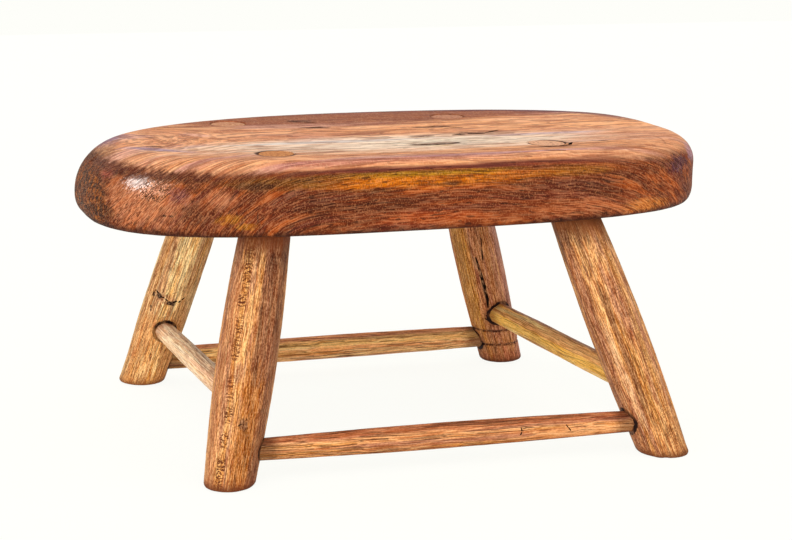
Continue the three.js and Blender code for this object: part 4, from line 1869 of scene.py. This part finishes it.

        # A soft dark line of painted shade where top and side meet, pores, a darker underside edge, and
        # painted shadow round the tenons
        line = g.absolute(above + 0.7) * front
        reach = g.ramp(x, 150.0, 90.0) * (g.ramp(x, -150.0, -40.0) * 0.75 + 0.25)
        reach = reach * (broad * 1.2 + 0.3)
        layers.lay((116, 48, 42), g.ramp(line, 2.6, 0.4) * front * reach, 0.7)
        layers.lay((62, 26, 18), g.ramp(line, 1.2, 0.2) * front * reach, 0.45)
        layers.lay((38, 18, 10), face["Pores"] * side, 0.6)
        # Darker towards the underside
        low = g.ramp(z + dz * 6.0 + ragged * 8.0, self.underside + 6.0, self.underside + 1.0)
        layers.lay((50, 22, 11), low, 0.75)
        self.tenon_shadows(layers, ragged, legs)
        inset, full = self.top_round_in, self.rim_fullness
        far_x = g.math("POWER", g.absolute(x) / (self.half_length - inset), full)
        far_y = g.math("POWER", g.absolute(y) / (self.half_width - inset), full)
        edge = g.ramp(far_x + far_y + ragged * 0.1, 0.88, 1.04) * g.ramp(y, -10.0, 50.0)
        layers.lay((104, 62, 70), edge * g.ramp(z, 206.5, 209.5), 0.85)
        layers.height = face["Fibres"] * -0.3 + face["Lines"] * -0.5
        layers.height = layers.height + face["Pores"] * -0.8 + flat["Lines"] * -0.6
        layers.roughness = face["Fibres"] * 0.12 + 0.54
        return layers.close(SEAT_RELIEF)

    @staticmethod
    def worn_rim_and_shoulder_shadow(layers: Layers, x: Field, z: Field, ragged: Field, side: Field) -> None:
        """Lays the blackened and bruised rim of the left end, and the painted shadow of the shoulder beside
        it.

        Args:
            layers: The seat's material.
            x: The place along the seat.
            z: The height.
            ragged: A cloudy pattern round nought.
            side: Where the top ends.
        """
        g = layers.graph
        specks = g.noise(g.scaled(layers.vector, 0.24), 3.0, 0.75)
        rim = g.ramp(x + ragged * 14.0, -211.0, -218.0) * g.ramp(z + ragged * 6.0, 208.0, 204.0)
        layers.lay((98, 44, 6), rim, 0.85)
        layers.lay((176, 100, 16), rim * g.ramp(specks, 0.46, 0.38), 0.6)
        layers.lay((26, 14, 7), rim * g.ramp(specks + ragged * 0.5, 0.49, 0.54), 0.9)
        # Painted shadow under the top's edge at the left end, above the bulge of the end
        shoulder = g.ramp(x, -136.0, -166.0) * g.ramp(z + ragged * 7.0, 197.5, 201.5) * side
        layers.lay((62, 30, 17), shoulder, 0.8)

    def tenon_shadows(self, layers: Layers, ragged: Field, legs: tuple[Leg, ...]) -> None:
        """Lays a painted shadow, a dark ring or part of one, in the gap round each tenon that shows in the
        top.

        Args:
            layers: The seat's material.
            ragged: A cloudy pattern round nought.
            legs: The legs.
        """
        g = layers.graph
        for leg in legs:
            middle, half, strength = self.joints[leg.node]
            centre = leg.line.finish / MM
            flat = g.vector("MULTIPLY", layers.vector, FLATTEN)
            off = g.vector("SUBTRACT", flat, (centre.x, centre.y, 0.0))
            out = g.number("LENGTH", off)
            facing = g.number("DOT_PRODUCT", g.vector("NORMALIZE", off), circle(middle))
            edge, full = circle(half)[0], circle(half * 0.6)[0]
            turned_to = g.ramp(facing + ragged * 0.4, edge, full)
            tenon = leg.taper_radius(self.top / leg.rise)
            ring = g.absolute(out + ragged * 2.0 - tenon - 0.9)
            on_top = g.ramp(g.split(layers.vector)[2], 203.0, 206.0)
            layers.lay((62, 30, 18), g.ramp(ring, 2.4, 1.0) * turned_to * on_top, strength)

    def mortise(self, leg: Leg, crevice: Material, skin: Material) -> Object:
        """Makes the cutter of a leg's tapered hole, which is worn open at the top.

        Args:
            leg: The leg.
            crevice: The material of the hole's inside.
            skin: The material of its worn upper mouth.

        Returns:
            The cutter.
        """
        below, above = self.underside - self.cutter_air, self.top + self.cutter_air
        narrow = leg.taper_radius(below / leg.rise) + self.clearance
        worn = leg.taper_radius((self.top - self.wear_depth) / leg.rise) + self.clearance
        steps = [(worn + wide, self.top + height) for wide, height in self.mortise_wear]
        profile = [(0.0, below), (narrow, below), *steps, (steps[-1][0], above), (0.0, above)]
        return turned("mortise", profile, leg.line, crevice, level=True, last=skin)

    def build(
        self, legs: tuple[Leg, ...], checks: CheckTree, effects: Effects, crevice: Material,
    ) -> None:
        """Makes the plank, cuts its four mortises and its checks, and dresses it.

        Args:
            legs: The legs.
            checks: The tree that grows the cutters of drying checks.
            effects: The shared groups.
            crevice: The material of the mortises' and checks' inside.
        """
        piece = self.plank()
        skin = self.material(effects, legs)
        piece.data.materials.append(skin)
        cutters = [self.mortise(leg, crevice, skin) for leg in legs]
        blades = []
        for check in self.checks:
            for start, finish in zip(check.places, check.places[1:]):
                ends = (Vector(start), Vector(finish))
                blades.append(Blade.between(*ends, self.outward(start, finish), check, MM))
        cutters.append(checks.grow("checks", blades))
        carve(piece, cutters)
        dress(piece, self.node)

    def outward(self, start: Triple, finish: Triple) -> Vector:
        """The direction out of the plank at the middle of a check."""
        middle = (Vector(start) + Vector(finish)) / 2
        if middle.z > self.top - 4:
            return UP
        side = Vector((middle.x * 0.25, middle.y, 0)).normalized()
        lift = max(0.0, (middle.z - (self.top - self.top_round_down)) / self.top_round_down)
        return (side * (1 - lift) + UP * lift).normalized()


@dataclass
class Studio:
    """The pale floor, the soft lights and the camera."""

    paper: Triple = (254, 254, 249)
    lens: float = 81.77
    eye: Triple = (-418.3, -1215.4, 402.5)
    yaw: float = -19.33
    pitch: float = -12.81
    roll: float = 0.77
    sensor: float = 36.0
    floor_size: float = 6000.0
    floor_tone: Triple = (250, 250, 246)
    paper_glow: float = 1.035
    paper_share: float = 0.9
    zenith: float = 0.8
    horizon: float = 1.15
    sky_turn: tuple[float, float] = (0.1, 0.7)
    lamps: tuple[tuple[str, float, float, float, float], ...] = (
        ("key", 0.55, 30, -35, 42), ("low front", 0.8, 16, -17, 5), ("low left", 0.95, 22, -62, 6),
        ("fill", 0.3, 50, 50, 22),
    )

    def camera(self) -> None:
        """Sets up the camera where the picture was seen from."""
        data = bpy.data.cameras.new("camera")
        data.lens = self.lens
        data.sensor_width = self.sensor
        data.clip_start, data.clip_end = 0.01, 50.0
        camera = bpy.data.objects.new("camera", data)
        turn = Matrix.Rotation(math.radians(self.yaw), 4, "Z")
        turn = turn @ Matrix.Rotation(math.radians(90 + self.pitch), 4, "X")
        turn = turn @ Matrix.Rotation(math.radians(self.roll), 4, "Z")
        camera.matrix_world = Matrix.Translation(Vector(self.eye) * MM) @ turn
        bpy.context.scene.collection.objects.link(camera)
        bpy.context.scene.camera = camera

    def backdrop(self, g: Graph, lit: Field) -> Field:
        """Shows mostly plain paper to the camera and to mirror rays, and the lit shader to the rest."""
        glow = {"Color": shade(*self.paper), "Strength": self.paper_glow}
        paper = g.out("ShaderNodeEmission", glow)
        return g.out("ShaderNodeMixShader", {0: self.seen(g) * self.paper_share, 1: lit, 2: paper})

    @staticmethod
    def seen(g: Graph) -> Field:
        """Where a ray comes from the camera, or by a mirror or glass."""
        path = g.node("ShaderNodeLightPath")
        kinds = ("Is Camera Ray", "Is Glossy Ray", "Is Transmission Ray")
        camera, glossy, through = (Field(g, path.outputs[kind]) for kind in kinds)
        return g.math("MAXIMUM", g.math("MAXIMUM", camera, glossy), through)

    def floor(self) -> None:
        """Lays the pale floor, which keeps a faint shadow."""
        half = self.floor_size / 2 * MM
        mesh = bpy.data.meshes.new("floor")
        corners = [(-half, -half, 0), (half, -half, 0), (half, half, 0), (-half, half, 0)]
        mesh.from_pydata(corners, [], [(0, 1, 2, 3)])
        floor = show("floor", mesh)
        material = bpy.data.materials.new("floor_paper")
        material.use_nodes = True
        material.node_tree.nodes.clear()
        g = Graph(material.node_tree)
        lit = g.out("ShaderNodeBsdfDiffuse", {"Color": shade(*self.floor_tone)})
        g.node("ShaderNodeOutputMaterial", {"Surface": self.backdrop(g, lit)})
        mesh.materials.append(material)

    def lights(self) -> None:
        """Hangs broad soft lamps in front, at the left and at the right, under an even sky."""
        for name, power, spread, yaw, pitch in self.lamps:
            data = bpy.data.lights.new(name, "SUN")
            data.energy = power
            data.angle = math.radians(spread)
            lamp = bpy.data.objects.new(name, data)
            tilt = Matrix.Rotation(math.radians(90 - pitch), 4, "X")
            lamp.matrix_world = Matrix.Rotation(math.radians(yaw), 4, "Z") @ tilt
            bpy.context.scene.collection.objects.link(lamp)
        world = bpy.data.worlds.new("studio")
        world.use_nodes = True
        world.node_tree.nodes.clear()
        g = Graph(world.node_tree)
        height = g.absolute(g.split(g.out("ShaderNodeTexCoord", output="Generated"))[2])
        strength = g.mix(g.ramp(height, *self.sky_turn), self.horizon, self.zenith)
        sky = g.out("ShaderNodeBackground", {"Color": (1, 1, 1, 1), "Strength": strength})
        paper = g.out("ShaderNodeBackground", {"Color": shade(*self.paper), "Strength": 1.0})
        mixed = g.out("ShaderNodeMixShader", {0: self.seen(g), 1: sky, 2: paper})
        g.node("ShaderNodeOutputWorld", {"Surface": mixed})
        bpy.context.scene.world = world

    def build(self) -> None:
        """Sets up the whole studio."""
        self.camera()
        self.floor()
        self.lights()
        bpy.context.scene.view_settings.view_transform = "Standard"


def make_seat() -> Seat:
    """The seat with its stains, painted highlights and sheen, pits and checks."""
    pale, rose = (255, 232, 204), (192, 116, 106)
    ochre, olive, plum = (198, 106, 2), (108, 66, 16), (92, 40, 56)
    brown, rust, ginger, dark = (106, 46, 22), (186, 84, 32), (204, 130, 88), (66, 30, 15)
    lilac, violet = (206, 166, 186), (118, 102, 138)
    along, across, torn = (0.01, 0.12, 0.12), (0.03, 0.12, 0.4), (0.2, 0.2, 0.4)
    thread, fine, combed = (0.012, 0.25, 0.1), (0.6, 0.6, 0.6), (0.02, 0.2, 0.1)
    knotty, stringy, brushed = (0.1, 0.3, 0.3), (0.08, 0.3, 0.3), (0.05, 0.2, 0.1)
    top = 211.0
    return Seat(
        pits=(
            Pit((-197, -79, 198), 2.6, 0.7), Pit((-190, -87, 196), 3.0, 0.9),
            Pit((-186, -90, 195), 2.4, 0.7), Pit((-191, -89, 192), 2.8, 0.8),
            Pit((-190, -92, 188), 2.4, 0.6),
        ),
        checks=(
            Check(((33, 23, top), (47, 22, top), (60, 15, top)), 2.6, 3.0, 0.8),
            Check(((45, -18, top), (54, -15, top), (66, -16, top)), 3.6, 3.0, 0.8),
            Check(((73, -12, top), (82, -6, top)), 3.0, 3.0, 0.8),
            Check(((14, -21, top), (25, -23, top)), 2.2, 2.0, 0.6),
            Check(((2, -52, top), (14, -57, top), (26, -55, top), (34, -52, top)), 2.8, 2.6, 0.8),
            Check(((84, -86.5, top), (96, -87.5, top), (105, -84, top), (110.5, -76, top)), 2.6, 2.6, 0.6),
            Check(((-53, 70, top), (-46, 67, top), (-38, 60, top)), 2.4, 2.0, 0.8),
            Check(((-52, 39, top), (-40, 38.5, top)), 3.2, 3.0, 0.6),
            Check(((-178, -21, top), (-170, -23, top)), 2.6, 2.0, 0.6),
            Check(((80, -104.5, top), (90, -105.5, top)), 2.0, 2.0, 0.4),
            Check(((134, -72.7, top), (141, -72, top)), 2.0, 2.0, 0.4),
        ),
        patches=(
            # Top. The pale band and the grey and lilac streaks along it are painted sheen, partly worn paler
            Patch((0, -44, 212), (205, 48, 6), pale, 0.9, threads=along),
            Patch((0, 92, 212), (235, 56, 8), (142, 66, 34), 0.85, inner=0.6, threads=along),
            Patch((-60, -28, 212), (120, 8, 5), (214, 206, 206), 0.6, ragged=0.6, threads=thread),
            Patch((20, -44, 212), (52, 16, 5), (214, 206, 182), 0.4, ragged=0.7, threads=thread),
            Patch((105, -28, 212), (60, 7, 5), (196, 166, 186), 0.55, ragged=0.6, threads=thread),
            # Painted sheen along the left rim of the top
            Patch((-176, -34, 211), (38, 8, 5), (160, 138, 168), 0.75, turn=(0, 0, -38), threads=brushed),
            Patch((-40, -108, 210), (150, 9, 5), rose, 0.6, ragged=0.4, threads=combed),
            Patch((30, -104, 210), (120, 5, 4), lilac, 0.5, ragged=0.6, threads=combed),
            Patch((60, -13, 212), (20, 8, 3), (84, 42, 24), 0.85, ragged=0.9, threads=knotty),
            Patch((46, 21, 212), (26, 7, 3), (96, 52, 32), 0.8, ragged=0.9, threads=stringy),
            Patch((20, -17, 212), (14, 6, 3), (96, 52, 32), 0.7, ragged=0.9, threads=knotty),
            Patch((-46, 70, 212), (18, 9, 3), (96, 48, 30), 0.8, ragged=0.9, threads=knotty),
            Patch((-40, 38, 212), (12, 7, 3), (84, 42, 24), 0.8, ragged=0.9, threads=knotty),
            Patch((20, -61, 212), (18, 6, 3), (206, 150, 70), 0.5, ragged=0.7, threads=knotty),
            Patch((18, -54, 212), (26, 7, 3), (84, 44, 26), 0.85, ragged=0.9, threads=stringy),
            Patch((94, -88, 212), (22, 6, 3), (104, 54, 30), 0.8, ragged=0.8, threads=stringy),
            Patch((108, -73, 212), (3.5, 10, 3), (84, 42, 24), 0.55, ragged=0.8),
            Patch((-206, 0, 206), (16, 44, 9), (126, 84, 44), 0.65, ragged=0.6),
            # Painted sheen along the rear-left rim of the top
            Patch((-194, 34, 208), (18, 44, 8), violet, 0.75),
            Patch((-160, 82, 209), (46, 18, 6), (116, 100, 130), 0.7),
            # Front face
            Patch((-30, -124, 182), (215, 40, 12), brown, 0.35, ragged=0.7, threads=across),
            Patch((-47, -124, 183), (46, 20, 6), dark, 0.6, ragged=0.7, threads=across),
            Patch((-12, -124, 174), (60, 20, 6), rust, 0.45, ragged=0.6, threads=across),
            Patch((67, -124, 171), (60, 20, 7), (162, 84, 42), 0.5, ragged=0.6, threads=across),
            Patch((98, -120, 192), (52, 20, 9), (88, 38, 26), 0.6, ragged=0.6, threads=across),
            Patch((150, -110, 196), (32, 20, 6), (104, 48, 26), 0.55, ragged=0.6, threads=across),
            Patch((-20, -123, 199), (114, 14, 7.5), ochre, 0.95, ragged=0.55, threads=across),
            Patch((-20, -123, 203), (96, 12, 3.2), (156, 118, 10), 0.7, ragged=0.4, threads=across),
            Patch((96, -118, 200), (50, 14, 5), (170, 104, 20), 0.5, threads=across),
            Patch((-106, -114, 200), (60, 18, 7), olive, 0.85, threads=across),
            Patch((-90, -124, 184), (36, 20, 10), dark, 0.5, ragged=0.8, threads=across),
            Patch((125, -116, 174), (70, 20, 10), (182, 102, 60), 0.5, ragged=0.6, threads=across),
            Patch((157, -108, 171), (34, 16, 7), (206, 124, 50), 0.65, ragged=0.6, threads=across),
            Patch((-128, -114, 197.5), (17, 12, 3), INK, 0.8, ragged=0.9, threads=torn),
            Patch((-52, -124, 193), (12, 6, 2.6), INK, 0.7, ragged=0.9, threads=torn),
            Patch((3, -124, 196), (9, 6, 2.2), INK, 0.65, ragged=0.9, threads=torn),
            Patch((-140.5, -114.5, 178.5), (0.9, 8, 5.5), INK, 0.9, ragged=0.3),
            Patch((-127.4, -117, 178.6), (0.8, 8, 4.5), INK, 0.85, ragged=0.3),
            # Left end
            Patch((-192, -78, 186), (44, 50, 24), ginger, 0.6, ragged=0.6),
            Patch((-150, -112, 190), (13, 12, 8), ginger, 0.5, ragged=0.6),
            Patch((-145, -113, 177), (12, 12, 4.5), (190, 120, 24), 0.55, ragged=0.8),
            Patch((-134, -116, 172), (9, 12, 3), (190, 120, 24), 0.55, ragged=0.8),
            Patch((-165, -106, 179), (13, 13, 9), dark, 0.6, ragged=0.9),
            Patch((-184, -97, 178.5), (2.0, 5, 1.1), INK, 0.9),
            Patch((-180, -100, 178.4), (2.4, 5, 1.0), INK, 0.9),
            # A painted highlight on the bulge of the left end, partly worn paler
            Patch((-189, -84, 196), (22, 18, 9), (236, 168, 134), 0.85, ragged=0.9, threads=fine),
            Patch((-197, -78, 197.5), (14, 14, 5.4), (255, 236, 228), 0.9, ragged=1.0, threads=fine),
            Patch((-188, -88, 194), (15, 13, 9), (20, 8, 6), 1.0, ragged=0.4, inner=0.7, netted=True),
            Patch((-175, -100, 192), (9, 12, 8), plum, 0.6, ragged=0.8),
            Patch((-210, -44, 199), (9, 14, 6), (206, 104, 92), 0.4, ragged=0.9),
            Patch((-219, -52, 181), (8, 14, 8), (196, 116, 50), 0.5, ragged=0.8),
            Patch((-214, -64, 176), (7, 10, 5), (48, 30, 14), 0.6, ragged=1.0),
            # Right end
            Patch((187, -93, 197), (18, 18, 9), (70, 34, 58), 0.85, ragged=0.8),
            # A painted highlight on the rim of the right end
            Patch((205, -72, 201), (9, 20, 9), (194, 158, 176), 0.6, ragged=0.7),
            Patch((178, -64, 212), (34, 60, 8), (214, 142, 104), 0.4, ragged=0.6),
            Patch((181, -72, 210), (1.8, 20, 3), (112, 52, 32), 0.6, turn=(0, 0, -7)),
        ),
    )


def make_undercarriage() -> Undercarriage:
    """The legs and stretchers with their own finishes."""
    front_left = BarFinish(
        pale=(242, 178, 108), body=(204, 126, 62), deep=(132, 66, 32), end=(204, 134, 78),
        under_seat_shade=0.9,
        sides=(
            # The darker, redder right facet: partly the wood's own tone, partly painted shade on the side
            # away from the light
            Side(Facing.FRONT, 26, 42, (132, 68, 38), 0.85),
            Side(Facing.FRONT, -72, 22, (190, 118, 76), 0.6),
            Side(Facing.FRONT, 2, 26, (182, 102, 20), 0.8, to_along=74),
            # Painted shade under the seat
            Side(Facing.FRONT, -10, 120, (92, 46, 28), 0.65, from_along=148),
        ),
        marks=(Mark(41, -93, 6, 4.0, (84, 40, 20), 0.8), Mark(74, -118, 9, 4, (150, 96, 78), 0.5)),
        ladders=(Ladder(-130.0, 1.0, 2.8),),
    )
    front_right = BarFinish(
        pale=(244, 178, 108), body=(206, 126, 58), deep=(134, 72, 34), end=(232, 176, 138),
        shift=40, under_seat_shade=0.9,
        sides=(
            Side(Facing.FRONT, -68, 24, (164, 98, 66), 0.7),
            # A painted highlight on the ridge and painted shade in the valley of the groove, with an olive
            # tint between
            Side(Facing.FRONT, -41, 9, (255, 200, 146), 0.6, from_along=26, to_along=100),
            Side(Facing.FRONT, -10, 12, (196, 124, 36), 0.6, from_along=30, to_along=100),
            Side(Facing.FRONT, -21, 8, (128, 72, 34), 0.75, from_along=36, to_along=124),
            Side(Facing.FRONT, 10, 18, (168, 100, 76), 0.5, from_along=85, to_along=132),
            # Painted shade under the seat
            Side(Facing.FRONT, -20, 120, (84, 44, 24), 0.75, from_along=157),
        ),
        ladders=(Ladder(-72.0, 0.35, 4.0),),
    )
    rear_left = BarFinish(
        pale=(255, 222, 156), body=(255, 190, 112), deep=(174, 104, 46), warm=(226, 154, 50),
        cool=(206, 142, 96), end=(200, 140, 106), shift=90, under_seat_shade=0.4,
        sides=(
            Side(Facing.FRONT, 40, 34, (186, 120, 66), 0.5),
            Side(Facing.FRONT, -64, 24, (186, 116, 68), 0.5),
            Side(Facing.FRONT, -10, 70, (232, 146, 52), 0.4, to_along=70),
        ),
        marks=(
            Mark(84, -112, 5, 9, (182, 104, 74), 0.45),
            Mark(85.2, -132, 3.0, 3.2, SOOT, 1.0, ragged=0.3), Mark(82, -101, 2.4, 4.4, SOOT, 0.95),
            Mark(83.4, -150, 2.6, 1.9, SOOT, 0.9), Mark(72.2, -147, 2.0, 2.0, INK),
            Mark(69.5, -144, 1.8, 1.9, INK), Mark(60, -120, 3, 2, (150, 60, 50), 0.5),
        ),
    )
    rear_right = BarFinish(
        pale=(220, 152, 94), body=(182, 106, 58), deep=(112, 58, 28), cool=(150, 90, 76),
        end=(196, 134, 102), shift=140, under_seat_shade=0.5, rings=(17.0, 30.0),
        sides=(
            Side(Facing.FRONT, -66, 28, (196, 134, 44), 0.75, from_along=40),
            Side(Facing.FRONT, 52, 28, (184, 118, 100), 0.75),
            Side(Facing.FRONT, -4, 30, (150, 80, 50), 0.5),
            Side(Facing.FRONT, 0, 120, (226, 122, 78), 0.7, to_along=12),
            Side(Facing.FRONT, 0, 120, (190, 116, 50), 0.55, from_along=16, to_along=30),
        ),
        marks=(
            Mark(84, -109, 24, 2.0, (34, 16, 9), 0.9, ragged=0.25),
            Mark(103, -113, 9, 1.7, (34, 16, 9), 0.8),
        ),
    )
    legs = (
        Leg(
            "front_left_leg", -105, front_left, seed=1.0, belly_diameter=40.5,
            cracks=(
                Crack(((39, -106), (41, -101), (41.5, -93), (44.6, -89), (48.6, -83)), 1.3, 1.6),
                Crack(((34, -104), (36.7, -103)), 1.0, 1.2),
                Crack(((42, -69), (37, -64), (32, -59)), 0.7, 1.2),
            ),
            knot=Knot(42, -92),
        ),
        Leg(
            "front_right_leg", -122, front_right, seed=2.0, belly_diameter=39.5,
            groove=Groove(-111.0),
        ),
        Leg(
            "rear_left_leg", -80, rear_left, seed=3.0,
            cracks=(
                Crack(((85.0, -153), (81.6, -152)), 1.4, 1.6),
                Crack(((86.8, -149), (87.0, -145), (86.2, -138)), 1.5, 1.6),
                Crack(((85.0, -126), (84.1, -118), (83.2, -108), (82.4, -100)), 1.3, 1.6),
                Crack(((81.0, -102), (82.8, -97), (84.8, -90)), 2.0, 1.6),
                Crack(((84.7, -83), (86.4, -79), (88.5, -72)), 1.4, 1.6),
                Crack(((89.2, -107), (92.6, -95)), 0.8, 1.0),
            ),
            knot=Knot(84, -120, 7.0, 0.5),
        ),
        Leg(
            "rear_right_leg", -95, rear_right, seed=4.0, belly_diameter=38.5, scored=True,
            cracks=(
                Crack(((110, -113), (103, -112), (94, -111)), 1.7, 3.0, 0.9),
                Crack(((97, -111), (87, -109), (78, -107), (65, -110)), 2.6, 4.0, 0.9),
                Crack(((127, -90), (120, -92)), 1.3, 2.0),
                Crack(((117, -94), (109, -97)), 1.3, 2.0),
                Crack(((52.4, -125), (50.1, -120)), 1.3, 2.0),
                Crack(((48, -104), (45, -97)), 1.3, 2.0),
            ),
        ),
    )
    dowel = {
        "streak_width": 1.3, "streak_length": 110.0, "fibres": 0.5, "lines": 0.75, "pores": 0.2,
        "speckle": 0.2, "foot_darkening": 0.0, "end_darkening": 0.6, "waviness": 4.0,
    }
    front = BarFinish(
        pale=(238, 166, 104), body=(194, 114, 60), deep=(118, 60, 28), shift=11,
        sides=(Side(Facing.UP, 0, 60, (196, 106, 66), 0.75), Side(Facing.DOWN, 0, 56, (134, 66, 22), 0.7)),
        **dowel,
    )
    rear = BarFinish(
        pale=(255, 204, 136), body=(255, 168, 98), deep=(164, 84, 40), ink=(70, 34, 18), shift=22,
        sides=(
            Side(Facing.UP, 0, 50, (224, 132, 86), 0.65),
            Side(Facing.FRONT, -34, 26, (255, 206, 120), 0.5),
        ),
        **dowel,
    )
    left = BarFinish(
        pale=(255, 230, 190), body=(255, 210, 160), deep=(246, 172, 114), ink=(176, 116, 80),
        cool=(244, 178, 134), warm=(255, 206, 146), shift=33,
        # A painted highlight along the upper right edge
        sides=(Side(Facing.UP, 50, 12, (230, 190, 172), 0.7),), **dowel,
    )
    right = BarFinish(
        pale=(255, 218, 140), body=(255, 188, 98), deep=(216, 132, 52), ink=(144, 86, 38),
        cool=(236, 152, 84), warm=(255, 196, 66), shift=44,
        sides=(Side(Facing.UP, 14, 26, (150, 82, 64), 0.85), Side(Facing.LEFT, 0, 24, (255, 196, 60), 0.6)),
        **dowel,
    )
    stretchers = (
        Stretcher(
            "front_stretcher", 18.8, 15.8, front, seed=5.0,
            cracks=(
                Crack(((201, -24), (201.6, -8), (200, 6)), 1.2, 1.5, facing=Facing.FRONT),
                Crack(((234, -26), (235.4, -10), (237, 4)), 1.2, 1.5, facing=Facing.FRONT),
            ),
        ),
        Stretcher("rear_stretcher", 20.0, 18.0, rear, seed=6.0),
        Stretcher("left_stretcher", 16.0, 15.0, left, seed=7.0),
        Stretcher("right_stretcher", 18.4, 17.2, right, seed=8.0),
    )
    return Undercarriage(legs, stretchers)


def main() -> None:
    """Builds the stool and the studio."""
    logging.basicConfig(level=logging.INFO, format="%(message)s")
    effects = Effects()
    crevice = crevice_finish(effects)
    checks = CheckTree(crevice)
    under = make_undercarriage()
    under.build(BarTree(), checks, effects, crevice)
    make_seat().build(under.legs, checks, effects, crevice)
    Studio().build()


if __name__ == "__main__":
    main()
